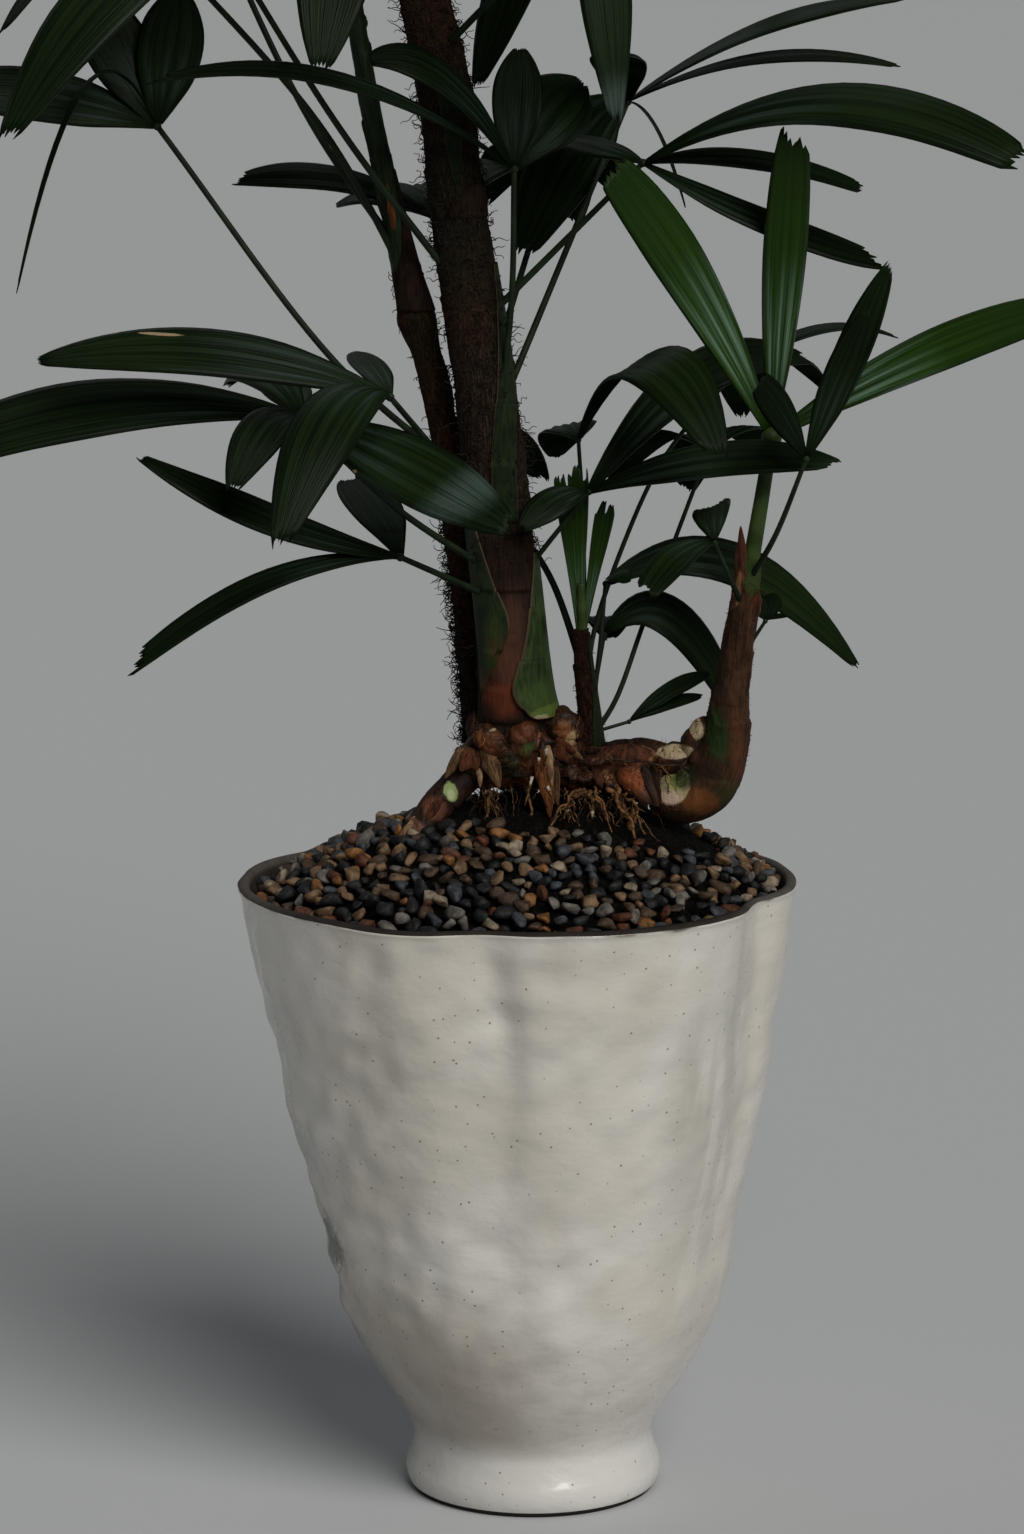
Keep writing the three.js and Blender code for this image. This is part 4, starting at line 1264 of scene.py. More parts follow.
# Each scale's base and tip, its width, its swell, which is less than 0 where it faces back, and its paint.
SCALES = [
    [(-19.5, -15, 312.4), (-13.8, -19, 296.0), 6.6, 1.2, TAN_DRY],
    [(-22.0, -13, 305.5), (-21.6, -17, 296), 2.2, 0.8, PALE],
    [(-28.6, -12, 311.0), (-35.8, -16, 299.5), 4.2, 1.4, TAN_DRY],
    [(-24.5, -13, 311.0), (-29.5, -17, 302.5), 6.0, 1.2, RED_DRY],
    [(-35.0, -15, 293.0), (-43.8, -20, 282.8), 5.0, 1.0, RED_DRY],
    [(-47.5, -18, 284.0), (-56.5, -24, 273.5), 2.4, 0.8, PALE],
    [(8.5, -13, 314.5), (17.0, -18.5, 310.5), 3.6, 1.2, RED_DRY],
    [(7.5, -13, 311.5), (14.0, -18.5, 306.5), 3.4, 1.2, RED_DRY],
    [(12.5, -14, 312.5), (20.0, -18, 307.5), 3.0, 1.0, TAN_DRY],
    [(20.5, -13, 309.5), (27.0, -16, 311.5), 3.2, 0.8, DEEP_BROWN],
    [(24.5, -14, 303), (27.4, -18, 296), 3.2, 1.0, RED_DRY],
    [(35.0, -15, 304.5), (50.2, -19.5, 288.6), 11.5, 1.6, RED_DRY],
    [(44.5, -17, 305), (49.5, -21, 290.0), 4.2, 0.8, GREY_DRY],
    [(47.5, -17, 305), (51.4, -21, 291.0), 2.6, 0.6, DEEP_BROWN],
    [(69.0, -12, 307), (62.5, -12, 313.5), 5.0, 0.8, DEEP_BROWN],
    [(84.0, -14.0, 366), (82.6, -15.5, 402), 5.6, 1.0, RED_DRY],
    [(81.6, -13.0, 362), (82.4, -15.5, 384), 5.0, 1.0, TAN_DRY],
    [(87.5, -14.5, 364), (90.0, -15.5, 376), 5.0, 0.8, RED_DRY],
    [(-56.0, 4, 519), (-58.6, 2, 537), 2.4, 0.5, ORANGE],
    [(-13, 12, 318), (-4, 16, 300), 9.0, -2.0, RED_DRY],
    [(12, 13, 314), (22, 15, 298), 9.0, -2.0, ORANGE],
    [(34, 8, 308), (46, 10, 292), 10.0, -2.0, RED_DRY],
    [(4.2, -15.5, 311.5), (6.6, -21.0, 284), 5.6, 2.2, ORANGE],
    [(1.4, -15.5, 307), (5.6, -21.5, 289), 4.2, 1.8, ORANGE],
    [(5.6, -16, 313.0), (7.4, -20.5, 297), 2.6, 1.2, PALE],
    [(8.8, -16, 304.5), (9.6, -20, 289), 2.6, 1.4, TAN_DRY],
]


def dry_paint(name, dark, light, edge, spots=()):
    """Dry skin with a paler edge."""
    return skin_paint(name, dark, light, 500, 0.75, spots, edge, 0.0018)


# Lighter patches on the red skin.
DRY_SPOTS = [
    (rgb(0.240, 0.068, 0.022), 0.9, (40.5, -18, 299), (6, 12, 6.5), 35, 0.6),
    (rgb(0.140, 0.066, 0.042), 0.85, (46.5, -19, 293), (5, 12, 5), 40, 0.6),
]
# Each paint's name, its dark and light tints, its edge's colour, and its spots.
DRY_TINTS = [
    ["brown", (0.0050, 0.0022, 0.0012), (0.030, 0.0110, 0.0050), (0.080, 0.038, 0.018), []],
    ["tan", (0.036, 0.018, 0.008), (0.160, 0.086, 0.038), (0.210, 0.130, 0.064), []],
    ["grey", (0.012, 0.007, 0.005), (0.055, 0.030, 0.019), (0.100, 0.062, 0.038), []],
    ["red", (0.014, 0.0050, 0.0026), (0.090, 0.028, 0.0110), (0.160, 0.075, 0.036), DRY_SPOTS],
    ["orange", (0.030, 0.0100, 0.0034), (0.190, 0.064, 0.0170), (0.220, 0.100, 0.040), []],
    ["pale", (0.090, 0.044, 0.022), (0.360, 0.230, 0.120), (0.390, 0.280, 0.170), []],
]
SCALE_PAINTS = [
    dry_paint(f"scale_{name}", rgb(*dark), rgb(*light), rgb(*edge), spots)
    for name, dark, light, edge, spots in DRY_TINTS
]


def add_scale(bm, base, tip, width, swell, slot):
    """Adds a cupped shield from base to tip, swollen towards the side it faces."""
    start, end = vec(base), vec(tip)
    ahead = (end - start).normalized()
    front = Vector((0, -1 if swell > 0 else 1, 0))
    front = (front - ahead * front.dot(ahead)).normalized()
    side = ahead.cross(front)

    def place(u, v):
        across = 2 * u - 1
        ragged = 1 + 0.3 * noise.noise(Vector((v * 5, across, width * 3 + base[0])))
        breadth = smooth(SCALE_OUTLINE, v) * width / 2 * ragged
        bow = 0.6 * abs(swell) * math.sin(math.pi * min(1, 0.15 + 0.85 * v))
        lift = bow - 0.5 * breadth * across**2
        point = start.lerp(end, v) + (side * (breadth * across) + front * lift) * MM
        return point + front * (0.7 * bumpy(point, 0.005, width) * MM)

    add_grid(bm, *SCALE_GRID, place, slot, (STRIP_WIDTH, STRIP_LENGTH))


scales = bmesh.new()
for row in SKINS:
    add_skin(scales, *row)
for row in SCALES:
    add_scale(scales, *row)
thicken(finish_piece("rhizome_scales", scales, SCALE_PAINTS, []), 0.4, 0)

# %% [markdown]
# Roots and loose fibres are threads: a few corners round a wandering line. There are thousands of them, so
# they are joined from arrays like the stones. Each stretch of a thread is a ring of corners joined to the
# next ring by triangles, and a fan of triangles closes both ends.


# %% Threads
def thread_piece(name, threads, sides, materials):
    """Thin tubes as one piece. A thread is its points, its radius at both ends and its material's number."""
    corners, faces, slots, start = [], [], [], 0
    for points, first, last, number in threads:
        line = np.array(points)
        ahead = np.gradient(line, axis=0)
        ahead /= np.linalg.norm(ahead, axis=1, keepdims=True)
        across = np.cross(ahead, (0.31, 0.22, 0.92))
        across /= np.linalg.norm(across, axis=1, keepdims=True)
        other = np.cross(ahead, across)
        radius = np.linspace(first, last, len(line))[:, None] * MM
        turns = [math.tau * k / sides for k in range(sides)]
        rings = [line + radius * (across * math.cos(turn) + other * math.sin(turn)) for turn in turns]
        corners.append(np.stack(rings, axis=1).reshape(-1, 3))
        made = []
        for row in range(len(line) - 1):
            for k in range(sides):
                here, beside = row * sides + k, row * sides + (k + 1) % sides
                made += [[here, beside, beside + sides], [here, beside + sides, here + sides]]
        top = (len(line) - 1) * sides
        made += [[0, k + 1, k] for k in range(1, sides - 1)]
        made += [[top, top + k, top + k + 1] for k in range(1, sides - 1)]
        faces.append(np.array(made) + start)
        slots.append(np.full(len(made), number))
        start += len(line) * sides
    add_piece(name, array_mesh(name, corners, faces, slots), materials, [])
    print(f"{name}: {len(threads)} threads")


def wander(start, end, sag, wobble, chance, steps):
    """Points in metres from start to end, which sag and wobble between them."""
    seed = chance.uniform(0, 90)
    made = []
    for k in range(steps + 1):
        t = k / steps
        point = Vector(start).lerp(Vector(end), t) - Vector((0, 0, sag * math.sin(math.pi * t)))
        shake = [noise.noise(Vector((t * 4 + seed, axis * 9.1, seed))) for axis in range(3)]
        free = math.sin(math.pi * (0.1 + 0.9 * t) ** 0.7)
        made.append((point + Vector(shake) * (wobble * free)) * MM)
    return made


def curl(start, out, length, tightness, chance, steps):
    """Points in metres of a fibre that springs away from the bark and curls."""
    ahead = (out + Vector([chance.gauss(0, 0.5) for _ in range(3)])).normalized()
    axis = Vector([chance.gauss(0, 1) for _ in range(3)]).normalized()
    points, point = [start], start.copy()
    for k in range(steps):
        ahead.rotate(Matrix.Rotation(tightness * (0.5 + k / steps), 3, axis))
        point = point + ahead * (length / steps * MM)
        points.append(point.copy())
    return points


print("thread helpers ready")


# %% [markdown]
# Roots hang from the rhizome into the grit. The main ones go between places that are seen on the real
# plant, each with a few forks, finer ones hang all along the rhizome, and a few young ones have white tips.

# %% Roots
# The main roots' ends and thickness. The first end is where a root leaves the rhizome.
ROOTS = [
    [(-16, -8, 300), (-20, -16, 276), 1.1], [(-2, -10, 300), (-1, -20, 276), 0.9],
    [(17.4, -17, 295), (5.0, -21, 278), 0.9], [(22.4, -17, 294), (25.6, -23, 272), 1.1],
    [(29.0, -16, 296), (39.8, -20, 281), 1.2], [(39.2, -16, 287), (39.4, -24, 268), 1.6],
    [(-6, 6, 300), (-6, 20, 270), 1.6], [(30, 4, 297), (32, 18, 268), 1.6],
    [(12, 10, 298), (16, 22, 268), 1.4], [(-20, 6, 298), (-26, 16, 268), 1.4],
    [(27.0, -17, 295), (13.0, -19, 290), 0.6], [(18, -15, 293), (28.0, -18, 289), 0.6],
    [(38.6, -16, 296), (36.0, -19, 284), 0.8], [(29.4, -17.5, 306.0), (62.5, -21.5, 304.4), 0.8],
    [(33.0, -16, 297), (40.4, -38, 279), 1.2], [(37.0, -17, 292), (44.5, -34, 280), 0.8],
    [(24.0, -17, 296), (31.2, -35, 281), 0.7], [(20.0, -16, 296), (6.4, -34, 283), 0.7],
    [(18.0, -16, 295), (12.0, -27, 285), 0.5],
]
# The young roots' ends, with the white tip at the second.
YOUNG_ROOTS = [
    [(4.6, -18, 303), (4.9, -20, 312.4)], [(1.2, -18, 303), (2.1, -20, 308.7)],
    [(-3.6, -19, 289), (-0.7, -20, 301)], [(8.4, -19, 290), (5.3, -21, 297.2)],
    [(10.5, -20, 283), (14.2, -23, 288.2)], [(29, -20, 283), (26.7, -21, 291.9)],
    [(24, -20, 279), (23.4, -21, 287)],
]
# Roots that leave the rhizome above this height are brown.
BROWN_ABOVE = 305
FORKS = 4
FINE_ROOTS = 60
# Where a young root's white tip starts, as a share of its length.
CAP_START = 0.7
TAN, BROWN, WHITE = range(3)

chance = random.Random(23)
roots = []
for start, end, thick in ROOTS:
    line = wander(start, end, -1.5, 4.0, chance, 20)
    roots.append((line, thick, thick * 0.45, BROWN if start[2] > BROWN_ABOVE else TAN))
    for _ in range(FORKS):
        fork = Vector(chance.choice(line[4:16])) / MM
        reach = Vector((chance.uniform(-9, 9), chance.uniform(-6, 2), chance.uniform(-13, -4)))
        branch = wander(fork, fork + reach, 0.5, 2.4, chance, 10)
        roots.append((branch, 0.3, 0.12, chance.choice((TAN, BROWN))))
for _ in range(FINE_ROOTS):
    share, turn = chance.uniform(0.05, 0.95), chance.uniform(-70, 60)
    foot = STEM_PATHS["rhizome"].at(share) / MM + Vector((0, -9 * math.cos(math.radians(turn)), -9))
    reach = Vector((chance.gauss(0, 4), chance.uniform(-7, 0), chance.uniform(-15, -4)))
    thin = chance.uniform(0.14, 0.34)
    line = wander(foot, foot + reach, 0, 3.0, chance, 9)
    roots.append((line, thin, 0.1, chance.choice((TAN, BROWN, BROWN))))
for start, end in YOUNG_ROOTS:
    roots.append((wander(start, end, 0, 0.8, chance, 8), 0.42, 0.6, TAN))
    cap = Vector(start).lerp(Vector(end), CAP_START)
    roots.append((wander(cap, end, 0, 0.1, chance, 3), 0.62, 0.78, WHITE))
ROOT_PAINTS = [
    plain_paint("root_tan", rgb(0.050, 0.022, 0.008), rgb(0.200, 0.098, 0.036), 500, 0.75),
    plain_paint("root_brown", rgb(0.010, 0.005, 0.003), rgb(0.050, 0.022, 0.010), 500, 0.8),
    plain_paint("root_tip", rgb(0.36, 0.29, 0.21), rgb(0.56, 0.50, 0.41), 500, 0.6),
]
thread_piece("roots", roots, 5, ROOT_PAINTS)

# %% [markdown]
# Loose fibres curl off the bark, longest on the trunks, and short ones make the knots and the rhizome
# shaggy. A fibre starts at the bark, springs away from it in a random direction and turns round a random
# axis.

# %% Loose fibres
# Where fibres grow: the stem, the heights they lie between, how many, the least and greatest of their
# lengths and of how tightly they curl, and of how many stretches they are made.
FIBRES = [
    ["main_trunk", 318, 380, 160, (5, 12), (0.6, 1.0), 10],
    ["main_trunk", 380, 480, 450, (5, 12), (0.7, 1.1), 10],
    ["main_trunk", 480, 640, 800, (5, 12), (0.7, 1.1), 10],
    ["side_trunk", 304, 400, 1500, (2, 11), (0.5, 1.2), 5],
    ["side_trunk", 400, 500, 170, (2, 6), (0.5, 1.2), 5],
    ["middle_shoot", 306, 350, 50, (1, 4), (0.4, 1.0), 4],
    ["right_shoot", 296, 385, 700, (0.8, 2.2), (0.4, 1.0), 3],
]
RHIZOME_FIBRES = 400
KNOT_FIBRES = 50
SHADED, RUSTY = range(2)
# The young sheaths of the main trunk are bare: up to this height, between these turns from its front.
BARE_BELOW = 385
BARE_TURNS = (-70, 115)


def on_bare_sheath(stem, height, turn):
    low, high = BARE_TURNS
    return stem == "main_trunk" and height < BARE_BELOW and low < (turn + 180) % 360 - 180 < high


fibres = []
for stem, low, high, count, lengths, tight, steps in FIBRES:
    for _ in range(count):
        height, turn = chance.uniform(low, high), chance.uniform(0, 360)
        if on_bare_sheath(stem, height, turn):
            continue
        length = chance.triangular(*lengths)
        start = on_stem(stem, height, turn, -0.3)
        tightness = chance.choice((-1, 1)) * chance.uniform(*tight)
        points = curl(start, heading(turn - 90), length, tightness, chance, steps)
        ends = (0.13, 0.06, RUSTY) if stem == "right_shoot" else (0.28, 0.14, SHADED)
        fibres.append((points, *ends))
for _ in range(RHIZOME_FIBRES):
    share, angle = chance.uniform(0.1, 1), chance.uniform(-0.3, 3.6)
    out = Vector((0, -math.cos(angle), math.sin(angle)))
    start = STEM_PATHS["rhizome"].at(share) + out * (stem_radius("rhizome", share) + 0.8 * MM)
    points = curl(start, out, chance.uniform(1, 3.5), 0.25, chance, 4)
    fibres.append((points, 0.11, 0.04, chance.choice((SHADED, RUSTY))))
for middle, size, lean in KNOTS:
    turned = Matrix.Rotation(math.radians(lean), 3, "Y")
    for _ in range(KNOT_FIBRES):
        out = heading(chance.uniform(-160, -20)) + Vector((0, 0, chance.uniform(-0.5, 1.1)))
        spread = Vector([part * side for part, side in zip(out.normalized(), size)])
        start = vec(middle) + turned @ spread * MM
        flat = out.cross(Vector([chance.gauss(0, 1) for _ in range(3)])).normalized()
        flat = (flat + 0.5 * out).normalized()
        points = curl(start, flat, chance.uniform(1.5, 5), 0.3, chance, 4)
        fibres.append((points, 0.13, 0.05, chance.choice((SHADED, RUSTY, RUSTY))))
FIBRE_PAINTS = [
    plain_paint("fibre_dark", rgb(0.006, 0.0038, 0.0024), rgb(0.026, 0.016, 0.010), 300, 0.85),
    plain_paint("fibre_rust", rgb(0.040, 0.014, 0.005), rgb(0.120, 0.046, 0.017), 300, 0.85),
]
thread_piece("fibres", fibres, 3, FIBRE_PAINTS)

# %% [markdown]
# ## Fronds
#
# A frond is a thin stalk, the petiole, and a fan of leaflets that spread from its end, the hub. No two
# fronds of the real plant are alike, so each one is a row of values, the same as its plain solid's: the
# stem it grows on and the height it leaves it at, the points its petiole passes, its hub, the heading and
# angle in degrees that its face is tipped towards, and its leaflets' width. A leaflet is [heading, span,
# rise, arch, and its own width and tip where they differ]. Some leaflets are old or end bluntly, and are
# listed by their number. Fronds at the back and at the top of the crown are spread evenly instead. Fronds
# that grow near each other are made one piece.

# %% Even fans
# The numbers of the leaf paints. The number after each is its underside's.
DEEP, YOUNG, OLD = 0, 2, 4
SPRAYS = {}


def fan(aim, spread, count, span, rise, arch):
    """Leaflets spread evenly round a heading, longest at their middle."""
    leaves = []
    for k in range(count):
        turn = k / (count - 1) - 0.5
        wave = math.cos(k * 2.4)
        reach = span * (1 - 0.3 * abs(turn) + 0.06 * wave)
        leaves.append([aim + turn * spread, round(reach), rise + 8 * wave, arch])
    return leaves


print("three even leaflets:", fan(90, 60, 3, 80, -22, 14))

# %% Fronds low on the main trunk, to the left
SPRAYS["leaves_left"] = {
    "frond_front_left": dict(
        stem="main_trunk", height=378, via=[[-55, -28, 411]],
        hub=[-91, -43, 448], blunt=[0], facing=[270, 45], width=30,
        leaves=[[187, 156, -17, 14, 29], [332, 96, -40, 4, 30], [236, 48, -26, 12, 20],
                [118, 73, 5, 14, 20],
                [106, 62, 10, 6, 20, 20]],
    ),
    "frond_left": dict(
        stem="main_trunk", height=400, hub=[-56, -68, 459], facing=[270, 45], width=30,
        leaves=[[183, 139, 14, 11, 24], [242, 88, -52, 24, 27], [102, 84, 10, 4, 14, 10]],
    ),
    "frond_low_left": dict(
        stem="main_trunk", height=368, hub=[-53, -35, 392], old=[2], blunt=[1], facing=[270, 30], width=26,
        leaves=[[185, 106, 43, -4, 22, 26], [193, 114, -45, 14, 15, 28], [108, 79, 22, 6, 22]],
    ),
    "frond_far_left": dict(
        stem="main_trunk", height=412, via=[[-76, -44, 468]],
        hub=[-147, -40, 562], facing=[270, 55], width=24,
        leaves=[[187, 88, 15, 5], [0, 10, 54, 2, 26], [209, 62, -69, 50, 4.5, 0], [165, 30, 52, 3, 26]],
    ),
    "frond_back_left": dict(
        stem="main_trunk", height=470, hub=[-38, 42, 520], facing=[270, 25], width=22,
        leaves=[[193, 88, 16, 10], [136, 64, 2, 10], [98, 60, 2, 12], [62, 62, 16, 12]],
    ),
}
print(", ".join(SPRAYS["leaves_left"]))

# %% Fronds higher on the main trunk, to the right
SPRAYS["leaves_upper_right"] = {
    "frond_mid_right": dict(
        stem="main_trunk", height=372, hub=[22, -10, 415], petiole=1.2, facing=[270, 35], width=28,
        leaves=[[23, 101, 48, 22, 24], [349, 104, 13, 9, 22], [215, 34, -14, 5, 16]],
    ),
    "frond_inner_right": dict(
        stem="main_trunk", height=425, via=[[-9, -14, 492]],
        hub=[-8, -16, 544], facing=[270, 60], width=26,
        leaves=[[201, 154, 35, 19, 14, 28], [200, 63, 42, 17, 20, 35], [80, 14, 48, 2, 20],
                [50, 44, 33, 6, 32]],
    ),
    "frond_upper_right": dict(
        stem="main_trunk", height=437, hub=[38, 38, 568], facing=[270, 50], width=24,
        leaves=[[340, 118, 42, 10, 20, 20], [352, 112, 14, 11, 14, 15], [183, 46, -68, 14, 32],
                [263, 70, 21, 8, 22, 10], [0, 24, -44, 10, 6, 5]],
    ),
    "frond_right": dict(
        stem="main_trunk", height=480, hub=[43, -10, 546], blunt=[0, 1, 2], facing=[270, 28], width=30,
        leaves=[[343, 156, 2, 26, 32], [8, 101, -41, -3, 22], [23, 101, -13, 8, 20, 25],
                [130, 60, 8, 2, 16]],
    ),
}
print(", ".join(SPRAYS["leaves_upper_right"]))

# %% Fronds on the shoots
SPRAYS["leaves_shoots"] = {
    "frond_arched": dict(
        stem="middle_shoot", height=340, via=[[20, 8, 400]],
        hub=[18, 8, 434], petiole=1.1, facing=[270, 35], width=30,
        leaves=[[306, 95, -4, 36, 30], [100, 50, -14, 10, 24]],
    ),
    "frond_low_right": dict(
        stem="middle_shoot", height=318, via=[[27, 2, 352]],
        hub=[29, 4, 376], petiole=1.1, facing=[270, 40], width=28,
        leaves=[[12, 108, -40, 27, 24], [300, 18, 2, 4, 9]],
    ),
    "frond_low_back": dict(
        stem="middle_shoot", height=322, hub=[29, 25, 352], petiole=1.1, facing=[270, 40], width=24,
        leaves=[[10, 60, -45, 28, 21], [86, 44, -10, 9, 18]],
    ),
    "frond_seedling": dict(
        stem="rhizome", height=300.5, hub=[39, 12, 318], petiole=0.9, facing=[270, 30], width=10,
        leaves=[[0, 34, 20, 3], [355, 31, 11, 2, 8]],
    ),
    "frond_bright": dict(
        stem="right_shoot", height=372, via=[[90, -11, 405]],
        hub=[95, -10, 437], facing=[270, 70], width=21,
        kind=YOUNG, petiole=3.6,
        leaves=[[196, 71, 112, 9], [290, 20, 128, 1, 17], [355, 119, 54, 6, 18]],
    ),
    "frond_dark": dict(
        stem="right_shoot", height=378, via=[[96, -28, 400]],
        hub=[107, -42, 432], petiole=1.25, old=[2], blunt=[2], facing=[270, 60], width=14,
        leaves=[[0, 33, 79, 0], [329, 27, 61, 2, 12], [200, 21, 33, 2, 13]],
    ),
    "frond_cupped": dict(
        stem="right_shoot", height=368, hub=[71, -44, 399], petiole=1.2, facing=[270, 45], width=20,
        leaves=[[264, 12, 16, 3, 16], [237, 54, -16, 6, 14]], blunt=[0, 1],
    ),
    "frond_withered": dict(
        stem="right_shoot", height=344, hub=[93, -12, 363], facing=[270, 45], width=8, petiole=0.9,
        kind=OLD,
        leaves=[[190, 4, 12, 0, 7], [20, 5, 11, 1, 8], [350, 9, 2, 1, 2.5]],
    ),
    "spear": dict(
        stem="middle_shoot", height=346, hub=[19, -1, 368], petiole=3.5, facing=[270, 85], width=10,
        kind=YOUNG, closed=True,
        leaves=[[180, 8, 56, 2], [180, 1, 60, 0], [0, 11, 44, 2], [180, 4, 52, -1, 8]],
    ),
}
print(", ".join(SPRAYS["leaves_shoots"]))

# %% Fronds behind the trunks
SPRAYS["leaves_behind"] = {
    "frond_back": dict(
        stem="middle_shoot", height=342, via=[[2, 24, 384]],
        hub=[-45, 72, 418], facing=[90, 25], width=24,
        leaves=fan(95, 90, 4, 88, -26, 18),
    ),
    "frond_back_right": dict(
        stem="main_trunk", height=455, hub=[8, 78, 538], facing=[90, 25], width=24,
        leaves=fan(90, 54, 4, 72, -24, 16),
    ),
    "frond_shaded_high": dict(
        stem="middle_shoot", height=330, via=[[24, 14, 352], [36, 22, 388], [54, 38, 424]],
        hub=[83, 60, 456], petiole=1.1, facing=[270, 20], width=22,
        leaves=[[8, 70, 13, 12, 16, 5], *fan(85, 60, 3, 80, -22, 14)],
    ),
    "frond_shaded_low": dict(
        stem="middle_shoot", height=314, via=[[34, 22, 326], [46, 40, 356]],
        hub=[72, 52, 424], petiole=1.1, facing=[90, 20], width=21,
        leaves=fan(95, 70, 3, 72, -22, 14),
    ),
}
print(", ".join(SPRAYS["leaves_behind"]))

# %% Fronds of the lower crown
SPRAYS["leaves_crown"] = {
    "frond_crown_front_left": dict(
        stem="main_trunk", height=489, via=[[-74, -16, 556]],
        hub=[-118, -75, 632], facing=[270, 40], width=25,
        leaves=[[213, 98, -76, 22, 30], [203, 84, -68, 26, 24], [100, 60, 18, 16], [315, 66, -4, 24]],
    ),
    "frond_crown_left": dict(
        stem="side_trunk", height=500, via=[[-85, 0, 560]],
        hub=[-152, -45, 640], facing=[200, 30], width=23,
        leaves=[[205, 59, -44, 10], [178, 76, -12, 24], [120, 50, 14, 12]],
    ),
    "frond_crown_back_left": dict(
        stem="side_trunk", height=507, via=[[-90, 16, 562]],
        hub=[-136, 44, 656], facing=[120, 20], width=25,
        leaves=fan(112, 116, 4, 104, -6, 26),
    ),
    "frond_crown_front": dict(
        stem="side_trunk", height=548, via=[[-72, -12, 600]],
        hub=[-66, -80, 660], facing=[270, 40], width=25,
        leaves=[[252, 47, -77, 12, 30], [215, 80, -22, 24], [292, 84, -26, 24], [335, 76, -12, 22]],
    ),
    "frond_crown_front_right": dict(
        stem="main_trunk", height=588, hub=[21, -80, 650], facing=[290, 30], width=25,
        leaves=[[297, 22, -88, 18, 22], [262, 84, -20, 26], [330, 100, -18, 30], [2, 108, -14, 30],
                [35, 90, 4, 24]],
    ),
    "frond_crown_back_right": dict(
        stem="main_trunk", height=604, hub=[20, 34, 655], facing=[60, 20], width=25,
        leaves=[[187, 44, -83, 18, 30, -40], [165, 52, -46, 14, 24], *fan(52, 100, 3, 108, -10, 30)],
    ),
}
print(", ".join(SPRAYS["leaves_crown"]))

# %% Fronds of the crown's top
SPRAYS["leaves_top"] = {
    "frond_top_left": dict(
        stem="main_trunk", height=640, hub=[-112, -52, 722], facing=[215, 25], width=25,
        leaves=fan(212, 126, 4, 112, -22, 30),
    ),
    "frond_top_front": dict(
        stem="main_trunk", height=652, hub=[-30, -62, 752], facing=[285, 25], width=25,
        leaves=fan(292, 130, 5, 112, -22, 30),
    ),
    "frond_top_right": dict(
        stem="main_trunk", height=664, hub=[18, 26, 742], facing=[30, 25], width=25,
        leaves=fan(25, 126, 4, 112, -22, 30),
    ),
    "frond_top_back": dict(
        stem="main_trunk", height=674, hub=[-86, 66, 760], facing=[115, 25], width=25,
        leaves=fan(118, 130, 5, 112, -22, 30),
    ),
    "frond_top_young": dict(
        stem="main_trunk", height=692, hub=[-62, -2, 775], facing=[270, 30], width=24, kind=YOUNG,
        leaves=fan(90, 300, 5, 56, 70, 6),
    ),
}
print(", ".join(SPRAYS["leaves_top"]))
print("fronds in all:", sum(len(spray) for spray in SPRAYS.values()))

# %% [markdown]
# A leaf's colour is deep green, with fine lighter veins along it. It darkens towards its tip, and a soft
# bluish sheen lies over the half next to the hub, in streaks. A young leaf is brighter, and an old one is
# almost black. The underside is duller and mirrors little or nothing. The gloss is broken by the veins, so
# the roughness and the bump use the same lines as the colour does.


# %% Leaf paints
SHINE = rgb(0.048, 0.074, 0.062)
SCAR = rgb(0.30, 0.22, 0.13)


def leaf_paint(name, deep, light, sheen, gloss, mirror, fade, scars=(), shines=()):
    """A leaf's upper side.

    mirror is how much of the room it mirrors, and fade how much its tip darkens. A shine is one more sheen
    and a scar a dry spot, each with its middle, half sizes and lean.
    """
    paint = Paint(name, Specular_IOR_Level=mirror)
    along = paint.parts(paint.uv)[1]
    fine = paint.noise(paint.stretch(paint.uv, (34, 0.8, 1)), 1.0, 3)
    bands = paint.ramp(paint.noise(paint.stretch(paint.uv, (11, 0.5, 1)), 1.0, 2), 0.36, 0.62)
    veins = fine * 0.6 + bands * 0.4
    cloudy = paint.ramp(paint.noise(paint.place, 24, 2), 0.35, 0.7)
    colour = paint.blend(cloudy * 0.35 + paint.ramp(veins, 0.25, 0.75) * 0.65, deep, light)
    colour = paint.blend(paint.ramp(along, 0.38, 0.9) * fade, colour, deep)
    near_hub = paint.ramp(along, 0.04, 0.24) * (1 - paint.ramp(along, 0.26, 0.6))
    patch = paint.ramp(paint.noise(paint.stretch(paint.uv, (7, 1.2, 1)), 1.0, 2), 0.40, 0.62)
    streaks = paint.ramp(fine, 0.30, 0.60) * 0.75 + 0.25
    colour = paint.blend(near_hub * patch * streaks, colour, sheen)
    for middle, size, lean in shines:
        shine = paint.spot(middle, size, 0.4, lean, 0.8)
        colour = paint.blend(shine * streaks, colour, SHINE)
    for middle, size, lean in scars:
        colour = paint.blend(paint.spot(middle, size, 0.5, lean), colour, SCAR)
    paint.bump(fine, 0.0004)
    return paint.coat(colour, veins * 0.25 + gloss)


